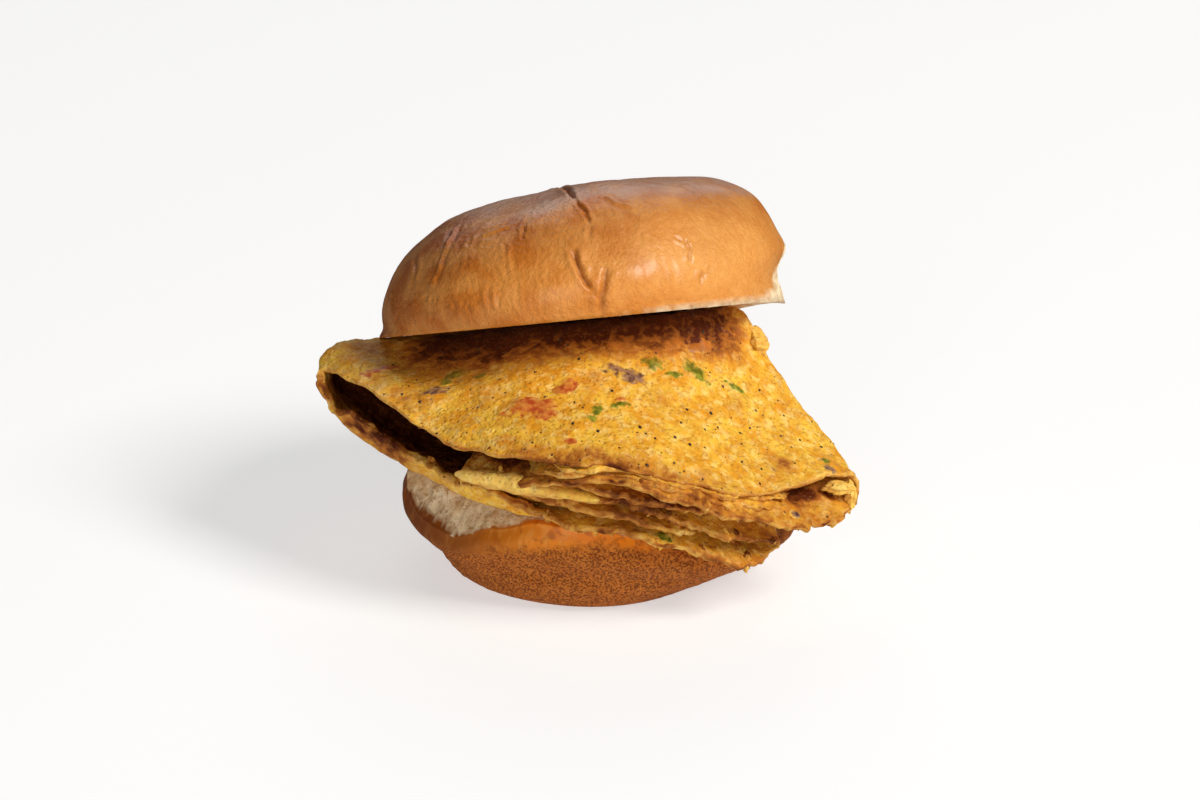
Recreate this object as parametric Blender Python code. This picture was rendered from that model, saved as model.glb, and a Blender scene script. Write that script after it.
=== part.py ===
"""Breakfast sandwich: a soft round bun, propped open by a folded masala omelette.

Three solids: the bun's crown, its heel, and the omelette, one thin round sheet of egg folded into
quarters. The folded fan sticks out of the bun on the left, in front and on the right. Lengths are
named in millimetres and become metres in to_metres(). The heel's flat underside is z = 0, and the
viewer's side is -Y.
"""

import math

import bmesh
import bpy
from mathutils import Euler, Matrix, Vector, noise

# The bun's crown, in its own frame: its cut face is the plane z = 0 and its dome rises along +Z.
CROWN_RADIUS = 52.0
CROWN_HEIGHT = 34.2
CROWN_CENTRE = Vector((-4.2, 5.0, 63.8))
CROWN_PITCH = math.radians(18.5)  # its front edge is raised
CROWN_ROLL = math.radians(5.5)  # its right edge is raised
CROWN_SAG = 6.0  # how far its back edge droops
CROWN_SAG_START = 14.0
CROWN_SEGMENTS = 72
CROWN_RINGS = 24
CROWN_DOME_SHARE = 0.72  # of the rings, counted from the dome's top to its cut edge

# The bun's heel: a flat foot, a side that swells out, and a cut face.
HEEL_RADIUS = 52.0
FOOT_RADIUS = 37.5
FOOT_BULGE = 8.6  # how far the porous bottom crust rounds out, by the height below
FOOT_HEIGHT = 9.0
FOOT_LIFT = 5.5  # how much narrower the flat foot is on the front right
HEEL_MIDDLE = 26.5  # height of the cut face at its centre
HEEL_SEGMENTS = 64
HEEL_RINGS = 22
HEEL_FACE_SHARE = 0.30
HEEL_SIDE_SHARE = 0.78

# Heights round the heel: degrees from +X, the crumb's height inside the rim, and the crust's edge.
HEEL_HEIGHTS = (
    (0, 18.8, 17.4),
    (45, 23.0, 21.5),
    (90, 26.5, 25.0),
    (135, 26.5, 24.5),
    (180, 26.0, 22.0),
    (204, 26.5, 18.8),
    (222, 27.2, 18.6),
    (238, 28.4, 24.0),
    (252, 29.0, 27.4),
    (268, 27.8, 26.6),
    (285, 25.2, 24.0),
    (300, 21.3, 20.0),
    (318, 18.2, 16.8),
    (340, 18.0, 16.6),
)

# The omelette.
SHEET_THICKNESS = 2.8
RAGGED = 1.2  # how far the cut edge wanders in and out
CLEARANCE = 0.5  # between the omelette and either half of the bun
FAN_APEX = Vector((5.0, 34.0))  # where the layers' straight sides meet, in plan
FAN_LEFT = math.radians(209)
FAN_RIGHT = math.radians(312)
TAIL_RADIUS = 12.0  # where the layers end, in a lump of egg at the apex
TAIL_THINNING = 0.5  # how much thinner the sheet is there
TAIL_RUN = 85.0  # about how far the lump is from the fan's edge
LUMP_BACK = 12.0  # how far the lump reaches behind the apex
LUMP_FRONT = 20.0  # and in front of it, in among the layers
LUMP_FLATNESS = 0.4  # 1 is an ellipsoid, and less a flatter puck
LUMP_SWELL = 1.06  # its height, as a share of the stack's
LEFT_BOW = 12.0  # how far the fan's left side bows out
RIGHT_BOW = -5.0  # and its right side, which bows in
SHEET_SAMPLES = 100
SHEET_STATIONS = 17

# The fan's outer edge, once round its four layers and the folds that join them. Each stretch has a
# share of the sheet's thickness, and rows of the height in the stack (1 is the top layer), how far a
# fold swells sideways behind the edge, and the point on the edge.
TOP_LAYER = (
    1.0,
    (
        (1.00, 2.5, (64.3, -32.0, 33.8)),
        (1.00, 0.0, (60.5, -35.5, 35.9)),
        (1.00, 0.0, (55.0, -40.0, 37.2)),
        (1.00, 0.0, (48.3, -46.0, 37.0)),
        (1.00, 0.0, (42.0, -51.0, 36.8)),
        (1.00, 0.0, (34.4, -56.0, 38.4)),
        (1.00, 0.0, (27.0, -60.0, 41.6)),
        (1.00, 0.0, (18.0, -62.5, 44.6)),
        (1.00, 0.0, (9.0, -64.0, 47.6)),
        (1.00, 0.0, (-1.0, -64.0, 49.4)),
        (1.00, 0.0, (-12.0, -62.0, 49.9)),
        (1.00, 0.0, (-23.0, -58.5, 49.7)),
        (1.00, 0.0, (-33.0, -52.5, 48.9)),
        (1.00, 0.0, (-42.0, -44.0, 50.2)),
        (1.00, 0.0, (-49.5, -36.0, 52.8)),
        (1.00, 0.0, (-57.0, -27.0, 54.6)),
        (1.00, 0.0, (-64.0, -17.5, 55.2)),
    ),
)
LEFT_FOLD = (
    1.0,
    (
        (0.98, 1.0, (-69.6, -10.0, 55.4)),
        (0.88, 2.0, (-71.6, -8.5, 53.8)),
        (0.70, 3.0, (-71.0, -12.0, 50.2)),
        (0.50, 3.5, (-68.6, -16.0, 46.8)),
        (0.30, 3.0, (-64.8, -18.2, 43.2)),
        (0.12, 2.0, (-60.0, -19.0, 39.4)),
        (0.02, 1.0, (-54.6, -20.5, 35.8)),
    ),
)
BOTTOM_LAYER = (
    1.0,
    (
        (0.00, 0.0, (-46.4, -27.0, 32.9)),
        (0.00, 0.0, (-38.5, -36.0, 31.9)),
        (0.00, 0.0, (-28.5, -45.0, 31.8)),
        (0.00, 0.0, (-17.0, -50.0, 31.9)),
        (0.00, 0.0, (-6.0, -52.5, 31.2)),
        (0.00, 0.0, (5.0, -54.5, 30.2)),
        (0.00, 0.0, (15.0, -55.5, 26.8)),
        (0.00, 0.0, (25.0, -54.0, 21.8)),
        (0.00, 0.0, (34.5, -50.0, 18.0)),
        (0.00, 0.5, (41.0, -45.5, 17.2)),
    ),
)
LOWER_RIGHT_FOLD = (
    0.9,
    (
        (0.14, 3.5, (45.2, -43.0, 19.6)),
        (0.32, 2.0, (42.8, -46.5, 22.8)),
    ),
)
THIRD_LAYER = (
    0.78,
    (
        (0.34, 0.0, (35.5, -51.0, 24.8)),
        (0.34, 0.0, (27.0, -55.5, 28.6)),
        (0.34, 0.0, (17.0, -58.5, 33.4)),
        (0.34, 0.0, (6.0, -59.5, 37.0)),
        (0.34, 0.0, (-6.0, -58.0, 38.8)),
        (0.36, 0.0, (-18.0, -55.0, 38.8)),
        (0.40, 0.0, (-28.5, -50.0, 38.6)),
    ),
)
INNER_LEFT_FOLD = (
    0.78,
    (
        (0.52, 0.0, (-35.2, -46.6, 39.4)),
    ),
)
SECOND_LAYER = (
    0.78,
    (
        (0.64, 0.0, (-29.0, -50.5, 41.6)),
        (0.67, 0.0, (-18.5, -58.0, 42.2)),
        (0.68, 0.0, (-6.0, -62.5, 44.6)),
        (0.68, 0.0, (6.0, -65.5, 44.8)),
        (0.68, 0.0, (17.0, -65.8, 41.4)),
        (0.68, 0.0, (27.0, -63.4, 37.2)),
        (0.68, 0.0, (35.5, -59.5, 33.4)),
        (0.68, 0.0, (44.5, -54.5, 30.0)),
        (0.68, 0.0, (53.0, -48.8, 27.0)),
    ),
)
UPPER_RIGHT_FOLD = (
    0.9,
    (
        (0.70, 2.0, (59.6, -42.6, 26.6)),
        (0.76, 4.5, (63.6, -37.5, 28.0)),
        (0.88, 5.0, (65.6, -33.6, 30.6)),
    ),
)
EDGE = [
    (thickness, level, swell, Vector(point))
    for thickness, rows in (
        TOP_LAYER,
        LEFT_FOLD,
        BOTTOM_LAYER,
        LOWER_RIGHT_FOLD,
        THIRD_LAYER,
        INNER_LEFT_FOLD,
        SECOND_LAYER,
        UPPER_RIGHT_FOLD,
    )
    for level, swell, point in rows
]


def to_metres(bm):
    """Turns a mesh modelled in millimetres into metres."""
    bmesh.ops.scale(bm, vec=(0.001, 0.001, 0.001), verts=bm.verts)


def smooth(t):
    """0 to 1 with a gentle start and end."""
    t = min(1.0, max(0.0, t))
    return t * t * (3 - 2 * t)


def bell(x, centre, width):
    """1 at the centre, falling to nearly 0 two widths away."""
    return math.exp(-((x - centre) / width) ** 2)


def angle_bell(angle, centre, width):
    """bell() for angles in degrees."""
    off = (angle - centre + 180) % 360 - 180
    return math.exp(-((off / width) ** 2))


def soft_min(a, b, blend):
    """The smaller of two heights, with a rounded meeting."""
    h = max(blend - abs(a - b), 0.0) / blend
    return min(a, b) - h * h * blend / 4


def ripple(point, size, seed):
    """Smooth noise from -1 to 1 with bumps of about the given size."""
    return noise.noise(Vector(point) / size + Vector((seed * 7.3, seed * 3.1, seed * 5.7)))


def through(values, t):
    """A smooth closed curve through evenly spaced values, read at t in steps of one value."""
    count = len(values)
    i = math.floor(t)
    f = t - i
    p0, p1, p2, p3 = (values[(i + k) % count] for k in (-1, 0, 1, 2))
    return (
        p1
        + (p2 - p0) * (0.5 * f)
        + (p0 * 2 - p1 * 5 + p2 * 4 - p3) * (0.5 * f * f)
        + (p1 * 3 - p0 - p2 * 3 + p3) * (0.5 * f * f * f)
    )


def heel_heights(angle):
    """The crumb's and the crust's height round the heel's rim, at an angle in degrees."""
    angle %= 360
    rows = HEEL_HEIGHTS + ((HEEL_HEIGHTS[0][0] + 360,) + HEEL_HEIGHTS[0][1:],)
    for low, high in zip(rows, rows[1:]):
        if low[0] <= angle <= high[0]:
            f = smooth((angle - low[0]) / (high[0] - low[0]))
            return low[1] + (high[1] - low[1]) * f, low[2] + (high[2] - low[2]) * f
    raise ValueError(angle)


def heel_face(x, y):
    """Height of the heel's crumb under the omelette, carried on past the rim."""
    crumb, _ = heel_heights(math.degrees(math.atan2(y, x)))
    return HEEL_MIDDLE + (crumb - HEEL_MIDDLE) * smooth(math.hypot(x, y) / 44.0)


def crown_matrix():
    """Places the crown's own frame over the omelette."""
    turn = Euler((-CROWN_PITCH, 0, 0)).to_matrix() @ Euler((0, -CROWN_ROLL, 0)).to_matrix()
    return Matrix.Translation(CROWN_CENTRE) @ turn.to_4x4()


def crown_sag(y):
    """How far the crown's back droops, y millimetres behind its middle."""
    over = max(0.0, y - CROWN_SAG_START) / (CROWN_RADIUS - CROWN_SAG_START)
    return CROWN_SAG * over * over


def crown_base(x, y):
    """Height of the crown's cut face over a point of the table."""
    dx = x - CROWN_CENTRE.x
    dy = y - CROWN_CENTRE.y
    level = CROWN_CENTRE.z - dy * math.tan(CROWN_PITCH) + dx * math.tan(CROWN_ROLL)
    return level - crown_sag(dy / math.cos(CROWN_PITCH)) / math.cos(CROWN_PITCH)


def crown_point(azimuth, depth):
    """A point of the crown's skin: depth 0 is the dome's top and 1 its cut edge."""
    degrees = math.degrees(azimuth)
    power = 2.0 / (2.87 + 0.5 * math.cos(azimuth))
    t = depth * math.pi / 2
    reach = math.sin(t) ** power
    rise = max(0.0, math.cos(t)) ** power
    radius = CROWN_RADIUS * (1 + 0.012 * math.cos(2 * azimuth - 0.6) + 0.008 * math.cos(3 * azimuth))
    x = radius * reach * math.cos(azimuth)
    y = radius * reach * math.sin(azimuth)
    z = (CROWN_HEIGHT + 2.4 * math.cos(azimuth) * reach) * rise
    # The side pulls in a little above the cut, more where the bun was torn from its neighbour, and
    # a torn tip of crumb is left there at the cut.
    tear = angle_bell(degrees, 8, 34)
    pull = -1.0 * bell(z, 0.0, 2.5) + 0.6 * bell(z, 9.0, 6.0)
    pull += tear * (1.2 * bell(z, 0.0, 2.2) - 3.2 * bell(z, 6.5, 4.0) + 1.2 * bell(z, 14.0, 3.0))
    tip = angle_bell(degrees, 2, 13) * bell(z, 0.0, 3.0)
    pull += 4.6 * tip
    pull += 2.2 * angle_bell(degrees, 184, 16) * bell(z, 0.0, 1.8)
    x += pull * math.cos(azimuth)
    y += pull * math.sin(azimuth)
    z -= 0.8 * tear * bell(z, 0.0, 2.0) + 1.4 * tip
    return Vector((x, y, z))


def crease(point, path, width, depth):
    """How far a crease along a path of (x, z) points sinks the crown's front there."""
    if point.y > 12:
        return 0.0
    here = Vector((point.x, point.z))
    nearest = 1e9
    along = 0.0
    for i, (start, end) in enumerate(zip(path, path[1:])):
        a = Vector(start)
        b = Vector(end)
        f = min(1.0, max(0.0, (here - a).dot(b - a) / (b - a).length_squared))
        away = (here - a - (b - a) * f).length
        if away < nearest:
            nearest = away
            along = (i + f) / (len(path) - 1)
    fade = min(1.0, 5.0 * min(along, 1 - along) + 0.25)
    return depth * fade * math.exp(-((nearest / width) ** 2))


# Creases baked into the crown's front, seen from the front in its own frame: points, width, depth.
CROWN_CREASES = (
    (((-3.5, 35.0), (-1.5, 31.0), (0.5, 27.5), (1.5, 22.0)), 2.4, 1.5),
    (((-3.6, 20.5), (-1.2, 15.0), (2.6, 9.5)), 2.2, 1.8),
    (((4.8, 14.5), (4.2, 9.0), (3.6, 2.5)), 2.0, 1.2),
    (((-35.5, 26.0), (-39.5, 18.0), (-43.5, 5.5)), 2.0, 1.1),
    (((-45.5, 18.0), (-46.5, 11.0)), 2.0, 0.9),
    (((26.5, 14.5), (27.0, 8.5), (28.8, 4.0)), 2.0, 0.8),
)


def shape_crown(bm):
    """Moves a sphere's points onto the crown."""
    for vert in bm.verts:
        azimuth = math.atan2(vert.co.y, vert.co.x)
        polar = math.acos(max(-1.0, min(1.0, vert.co.z))) / math.pi
        if polar <= CROWN_DOME_SHARE:
            point = crown_point(azimuth, polar / CROWN_DOME_SHARE)
            inward = Vector((point.x, point.y, 1.4 * point.z)).normalized()
            dent = sum(crease(point, *one) for one in CROWN_CREASES)
            swell = 0.9 * ripple(point, 26.0, 1) + 0.35 * ripple(point, 9.0, 2)
            swell *= smooth(point.z / 8.0)
            point += inward * (swell - dent)
        else:
            inset = 1 - (polar - CROWN_DOME_SHARE) / (1 - CROWN_DOME_SHARE)
            edge = crown_point(azimuth, 1.0)
            point = edge * (inset * 0.985)
            point.z = 0.35 * ripple(point, 7.0, 3) * smooth(3 * (1 - inset)) + 0.35
        point.z -= crown_sag(point.y)
        vert.co = crown_matrix() @ point


def heel_side(degrees, height, crust):
    """Radius of the heel's side at a height, on a bearing where the crust ends at another."""
    foot = FOOT_BULGE * min(1.0, height / FOOT_HEIGHT) ** 0.6
    side = (HEEL_RADIUS - FOOT_RADIUS - FOOT_BULGE) * smooth((height / crust - 0.34) / 0.42)
    waist = 2.6 * angle_bell(degrees, 205, 20) * bell(height, 9.5, 5.0)
    lift = FOOT_LIFT * angle_bell(degrees, 318, 38) * (1 - smooth(height / 8.0))
    return FOOT_RADIUS + foot + side - waist - lift - 1.2 * smooth((height - crust + 4.0) / 4.0)


def heel_point(azimuth, depth):
    """A point of the heel: depth 0 is the middle of the cut face and 1 the middle of the foot."""
    degrees = math.degrees(azimuth) % 360
    crumb, crust = heel_heights(degrees)
    wobble = 1 + 0.010 * math.cos(2 * azimuth + 0.8) + 0.006 * math.cos(5 * azimuth)
    if depth <= HEEL_FACE_SHARE:
        inset = depth / HEEL_FACE_SHARE
        radius = heel_side(degrees, crust, crust) * inset * wobble
        shoulder = smooth((inset - 0.86) / 0.14)
        height = HEEL_MIDDLE + (crumb - HEEL_MIDDLE) * smooth(radius / 44.0)
        height += (crust - height) * shoulder
    elif depth <= HEEL_SIDE_SHARE:
        share = 1 - (depth - HEEL_FACE_SHARE) / (HEEL_SIDE_SHARE - HEEL_FACE_SHARE)
        height = crust * share
        radius = heel_side(degrees, height, crust) * wobble
    else:
        inset = 1 - (depth - HEEL_SIDE_SHARE) / (1 - HEEL_SIDE_SHARE)
        radius = heel_side(degrees, 0.0, crust) * inset * wobble
        height = 0.0
    return Vector((radius * math.cos(azimuth), radius * math.sin(azimuth), height))


def shape_heel(bm):
    """Moves a sphere's points onto the heel."""
    for vert in bm.verts:
        azimuth = math.atan2(vert.co.y, vert.co.x)
        polar = math.acos(max(-1.0, min(1.0, vert.co.z))) / math.pi
        vert.co = heel_point(azimuth, polar)


def fan_share(point):
    """How far across the fan a point on its edge lies: 0 is the left side and 1 the right."""
    angle = math.atan2(point.y - FAN_APEX.y, point.x - FAN_APEX.x) % (2 * math.pi)
    return (angle - FAN_LEFT) / (FAN_RIGHT - FAN_LEFT)


def top_height(x, y, across, run):
    """Middle of the top layer, run millimetres in from the fan's edge."""
    left = 1 - smooth(across * 3.2)
    right = smooth((across - 0.55) / 0.45)
    slope = 0.36 - 0.22 * left
    curve = 0.0017 * (1 - left) + 0.0118 * right
    start = 49.5 + 6.6 * left - 14.5 * right
    ramp = start + slope * run + curve * run * run + 0.6 * ripple((x, y, 0), 16.0, 4)
    roof = crown_base(x, y) - CLEARANCE - SHEET_THICKNESS / 2
    return soft_min(ramp, roof, 3.0)


def bottom_height(x, y):
    """Middle of the bottom layer, which lies on the heel and droops past its right front rim."""
    angle = math.degrees(math.atan2(y, x))
    outside = max(0.0, math.hypot(x, y) - 49.5)
    droop = angle_bell(angle, 308, 34) * outside * outside / (outside + 5.0) * 0.8
    return heel_face(x, y) + CLEARANCE + SHEET_THICKNESS / 2 - droop


def stack_height(x, y, across, level, run):
    """Height of a layer in the stack, from the bottom one at level 0 to the top one at 1."""
    low = bottom_height(x, y)
    return low + (top_height(x, y, across, run) - low) * level


def bow(across, station):
    """Plan offset that rounds the fan's straight sides."""
    left = LEFT_BOW * (1 - smooth(across * 3.4)) * math.sin(math.pi * station**2.2)
    right = RIGHT_BOW * smooth((across - 0.6) / 0.4) * math.sin(math.pi * station)
    return Vector((-0.70, 0.71)) * left + Vector((0.82, 0.57)) * right


def sheet_point(at, station):
    """A point of the folded sheet's middle: at runs round EDGE, station from the tail to the edge."""
    level, swell, edge = (through([row[k] for row in EDGE], at) for k in (1, 2, 3))
    across = fan_share(edge)
    rim = edge.to_2d()
    away = (rim - FAN_APEX).normalized()
    sideways = Vector((-away.y, away.x)) * (1 if across > 0.5 else -1)
    tail = FAN_APEX + away * TAIL_RADIUS
    run = (rim - tail).length * (1 - station)
    plan = tail.lerp(rim, station) + bow(across, station)
    plan += sideways * (swell * smooth(6 * (1 - station)) * (0.3 + 0.7 * station))
    plan += away * (RAGGED * ripple(edge, 7.0, 6) * station**8)
    off = edge.z - stack_height(rim.x, rim.y, across, level, 0.0)
    height = stack_height(plan.x, plan.y, across, level, run) + off * station**4
    return Vector((plan.x, plan.y, height))


def lump_reach(angle):
    """How far the lump at the fan's apex reaches on a bearing."""
    middle = (FAN_LEFT + FAN_RIGHT) / 2
    off = abs((angle - middle + math.pi) % (2 * math.pi) - math.pi)
    past = math.degrees(off - (FAN_RIGHT - FAN_LEFT) / 2)
    return LUMP_FRONT + (LUMP_BACK - LUMP_FRONT) * smooth(past / 34.0)


def build_crown():
    """The bun's domed top."""
    bm = bmesh.new()
    bmesh.ops.create_uvsphere(bm, u_segments=CROWN_SEGMENTS, v_segments=CROWN_RINGS, radius=1.0)
    shape_crown(bm)
    return make_object("bun_crown", bm, crust_material())


def build_heel():
    """The bun's bottom half, with its foot flat on the table."""
    bm = bmesh.new()
    bmesh.ops.create_uvsphere(bm, u_segments=HEEL_SEGMENTS, v_segments=HEEL_RINGS, radius=1.0)
    shape_heel(bm)
    return make_object("bun_heel", bm, heel_material())


def build_lump():
    """A guide: the lump of egg at the fan's apex, where the folded layers are pressed into one."""
    bm = bmesh.new()
    bmesh.ops.create_uvsphere(bm, u_segments=32, v_segments=12, radius=1.0)
    for vert in bm.verts:
        angle = math.atan2(vert.co.y, vert.co.x)
        reach = lump_reach(angle) * math.hypot(vert.co.x, vert.co.y) ** LUMP_FLATNESS
        x = FAN_APEX.x + reach * math.cos(angle)
        y = FAN_APEX.y + reach * math.sin(angle)
        level = 0.5 + 0.5 * LUMP_SWELL * vert.co.z
        vert.co = (x, y, stack_height(x, y, 0.5, level, TAIL_RUN))
    lump = make_object("apex_lump", bm, egg_material())
    lump.hide_render = True
    lump.display_type = "WIRE"
    return lump


def build_omelette():
    """The folded sheet of egg, open at its curved edge."""
    bm = bmesh.new()
    thickness = bm.verts.layers.deform.verify()
    bmesh.ops.create_grid(bm, x_segments=SHEET_SAMPLES, y_segments=SHEET_STATIONS, size=0.5)
    for vert in bm.verts:
        at = (vert.co.x + 0.5) * len(EDGE)
        station = vert.co.y + 0.5
        thinned = TAIL_THINNING * (1 - smooth(4 * station))
        vert[thickness][0] = through([row[0] for row in EDGE], at) * (1 - thinned)
        vert.co = sheet_point(at, station)
    bmesh.ops.remove_doubles(bm, verts=bm.verts, dist=0.01)
    omelette = make_object("omelette", bm, egg_material())
    share = omelette.vertex_groups.new(name="share of thickness")
    wall = omelette.modifiers.new("Thickness", "SOLIDIFY")
    wall.thickness = SHEET_THICKNESS * 0.001
    wall.offset = 0.0
    wall.vertex_group = share.name
    apex = omelette.modifiers.new("Apex", "BOOLEAN")
    apex.operation = "UNION"
    apex.solver = "EXACT"
    apex.object = build_lump()
    return omelette


def make_object(name, bm, material):
    """One finished piece of the sandwich."""
    to_metres(bm)
    bmesh.ops.recalc_face_normals(bm, faces=bm.faces)
    mesh = bpy.data.meshes.new(name)
    bm.to_mesh(mesh)
    bm.free()
    mesh.shade_smooth()
    mesh.set_sharp_from_angle(angle=math.radians(50))
    mesh.materials.append(material)
    piece = bpy.data.objects.new(name, mesh)
    bpy.context.scene.collection.objects.link(piece)
    return piece


def plain_material(name, colour, roughness):
    """A Principled material of one colour."""
    material = bpy.data.materials.new(name)
    material.use_nodes = True
    shader = material.node_tree.nodes["Principled BSDF"]
    shader.inputs["Base Color"].default_value = (*colour, 1.0)
    shader.inputs["Roughness"].default_value = roughness
    shader.inputs["Metallic"].default_value = 0.0
    return material


def crust_material():
    """Egg-washed golden crust."""
    return plain_material("golden_crust", (0.62, 0.27, 0.07), 0.35)


def heel_material():
    """Matt brown bottom crust."""
    return plain_material("bottom_crust", (0.40, 0.15, 0.05), 0.7)


def egg_material():
    """Fried egg, yellow with turmeric."""
    return plain_material("fried_egg", (0.72, 0.40, 0.06), 0.5)


def main():
    for old in list(bpy.data.objects):
        bpy.data.objects.remove(old)
    build_crown()
    build_heel()
    build_omelette()


main()
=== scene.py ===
"""Looks of a breakfast sandwich: a soft round bun, propped open by a folded masala omelette.

The file is laid out as an add-on, with an operator for each piece and one for the stage. A piece
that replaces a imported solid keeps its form, and adds the fine relief and the finish. The shape
functions work in millimetres, and to_object() turns a piece into metres.
"""

import math
import random

import bmesh
import bpy
import numpy as np
from bpy.props import FloatProperty, FloatVectorProperty, IntProperty, PointerProperty
from mathutils import Euler, Matrix, Vector, noise
from mathutils.bvhtree import BVHTree


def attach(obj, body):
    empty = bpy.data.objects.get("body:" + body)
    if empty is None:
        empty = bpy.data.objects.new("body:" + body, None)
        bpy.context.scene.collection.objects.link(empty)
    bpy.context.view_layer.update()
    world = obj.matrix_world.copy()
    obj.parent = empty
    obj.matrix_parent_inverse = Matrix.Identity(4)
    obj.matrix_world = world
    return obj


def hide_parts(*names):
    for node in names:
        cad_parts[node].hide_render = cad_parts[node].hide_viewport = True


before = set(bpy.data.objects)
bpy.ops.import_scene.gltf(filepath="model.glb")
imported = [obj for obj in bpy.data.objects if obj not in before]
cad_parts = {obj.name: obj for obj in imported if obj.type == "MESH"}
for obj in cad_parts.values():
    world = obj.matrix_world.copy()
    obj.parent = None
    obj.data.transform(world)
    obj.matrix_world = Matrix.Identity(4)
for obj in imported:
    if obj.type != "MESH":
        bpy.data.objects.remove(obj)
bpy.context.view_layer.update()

# Millimetres in a metre, a height over the whole sandwich, and the way down from there.
MILLIMETRES = 1000.0
SKYWARD = 150.0
DOWN = Vector((0, 0, -1))

# Numbers kept at the points of each kind of mesh, which its material reads by name.
CROWN_MARKS = ("crumb", "crease", "baked", "dusty", "honeyed")
HEEL_MARKS = ("crumb", "sole", "orange")
EGG_MARKS = ("cut", "toast")
CHUNK_MARKS = ("film", "toast")

# Colours of the egg among the omelette's settings, and looks that aren't settings.
EGG_TONES = ("yolk", "yellow", "pale", "lace", "browned")
PEPPER_DARK = (0.012, 0.008, 0.006)
PEPPER_BROWN = (0.07, 0.032, 0.014)
PIT_FLOOR = 0.04

# Blotches in the finishes: size in millimetres, the noise's levels of none and all, and detail.
CRUST_SPECKLE = (0.55, 0.3, 0.7, 2.0)
CRUST_SKIN = (1.5, 0.3, 0.7, 4.0)
SHEEN_PATCHES = (5.0, 0.3, 0.65, 5.0)
CRUST_PATCHES = (8.0, 0.35, 0.65, 3.0)
CRUMB_CLOUDS = (4.0, 0.35, 0.7, 3.0)
SOLE_HOLES = (0.62, 0.50, 0.62, 3.0)
SOLE_FLECKS = (0.6, 0.40, 0.60, 2.0)
SOLE_PATCHES = (5.0, 0.35, 0.65, 3.0)
SIDE_STREAKS = (2.2, 0.50, 0.68, 4.0)
SIDE_SPOTS = (3.0, 0.5, 0.62, 4.0)
EGG_CLOUDS = (5.0, 0.34, 0.66, 6.0)
EGG_CURDS = (2.2, 0.46, 0.70, 5.0)
EGG_LACE = (1.0, 0.50, 0.66, 4.0)
EGG_BROWN = (4.0, 0.54, 0.76, 6.0)
EGG_GRIT = (0.9, 0.25, 0.75, 2.0)
EGG_PIMPLES = (2.6, 0.3, 0.7, 1.0)
TOAST_PATCHES = (2.4, 0.35, 0.65, 4.0)
TORN_FILM = (1.8, 0.2, 0.8, 2.0)
CHUNK_MOTTLE = (1.6, 0.35, 0.65, 3.0)
PEPPER_FLECKS = (1.2, 0.4, 0.6, 1.0)

# Pits in the finishes: size in millimetres and width.
LARGE_PORES = (2.3, 0.5)
SMALL_PORES = (0.9, 0.45)
EGG_BUBBLES = (1.3, 0.4)

# Relief too fine for the mesh: depth in metres and strength.
CRUST_BUMP = (0.00022, 0.85)
SOLE_BUMP = (0.0004, 0.9)
EGG_BUMP = (0.00026, 0.85)
CHUNK_BUMP = (0.00015, 0.6)

# Roughness from one end of a mask to the other, and shares of a tone there.
CRUMB_ROUGHNESS = 0.9
CRUST_ROUGHNESS = (0.36, 0.5)
HEEL_ROUGHNESS = (0.38, 0.85)
EGG_ROUGHNESS = (0.55, 0.42)
# The share of the painted sheen on the crown's top, from one end of its patches to the other.
PAINTED_SHEEN_SHARE = (0.35, 0.8)
SPOT_SHARE = (0.25, 0.6)
STREAK_SHARE = (0.12, 0.4)
TOAST_SHARE = (0.75, 1.2)

bl_info = {
    "name": "Breakfast Sandwich",
    "version": (1, 0, 0),
    "blender": (4, 5, 0),
    "location": "View3D > Sidebar > Sandwich",
    "description": "Adds a bun propped open by a folded omelette, piece by piece",
    "category": "Add Mesh",
}

# The bun's crown, in its own frame: its cut face is the plane z = 0 and its dome rises along +Z.
CROWN_RADIUS = 52.0
CROWN_HEIGHT = 34.2
CROWN_CENTRE = Vector((-4.2, 5.0, 63.8))
CROWN_PITCH = math.radians(18.5)
CROWN_ROLL = math.radians(5.5)
CROWN_SAG = 6.0
CROWN_SAG_START = 14.0
CROWN_SEGMENTS = 420
CROWN_RINGS = 200
CROWN_DOME_SHARE = 0.78
CROWN_CROWDING = 0.42

# The bun's heel: a flat foot, a side that swells out, and a cut face.
HEEL_RADIUS = 52.0
FOOT_RADIUS = 37.5
FOOT_BULGE = 8.6
FOOT_HEIGHT = 9.0
FOOT_LIFT = 5.5
HEEL_MIDDLE = 26.5
HEEL_SEGMENTS = 420
HEEL_RINGS = 190
HEEL_FACE_SHARE = 0.26
HEEL_SIDE_SHARE = 0.84
HEEL_CROWDING = 0.42

# Heights round the heel: degrees from +X, the crumb's height inside the rim, and the crust's edge.
HEEL_HEIGHTS = (
    (0, 18.8, 17.4), (45, 23.0, 21.5), (90, 26.5, 25.0), (135, 26.5, 24.5), (180, 26.0, 22.0),
    (204, 26.5, 18.8), (222, 27.2, 18.6), (238, 28.4, 24.0), (252, 29.0, 27.4), (268, 27.8, 26.6),
    (285, 25.2, 24.0), (300, 21.3, 20.0), (318, 18.2, 16.8), (340, 18.0, 16.6),
)

# The omelette: a round sheet of egg folded into quarters, its layers ending in a lump at the apex.
RAGGED = 1.2
CLEARANCE = 0.5
FAN_APEX = Vector((5.0, 34.0))
FAN_LEFT = math.radians(209)
FAN_RIGHT = math.radians(312)
TAIL_RADIUS = 12.0
TAIL_THINNING = 0.5
TAIL_RUN = 85.0
LUMP_BACK = 12.0
LUMP_FRONT = 20.0
LUMP_FLATNESS = 0.4
LUMP_SWELL = 1.06
LEFT_BOW = 12.0
RIGHT_BOW = -5.0

# A slight rise at the top layer's left corner, and the turned-up lip of the rims below it.
CORNER_MIDDLE = Vector((-68.0, -2.5))
CORNER_SIZE = 9.5
CORNER_RISE = 1.8
CORNER_FADE = 4.5
LIP_RISE = 4.6
LIP_RUN = 5.5

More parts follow.
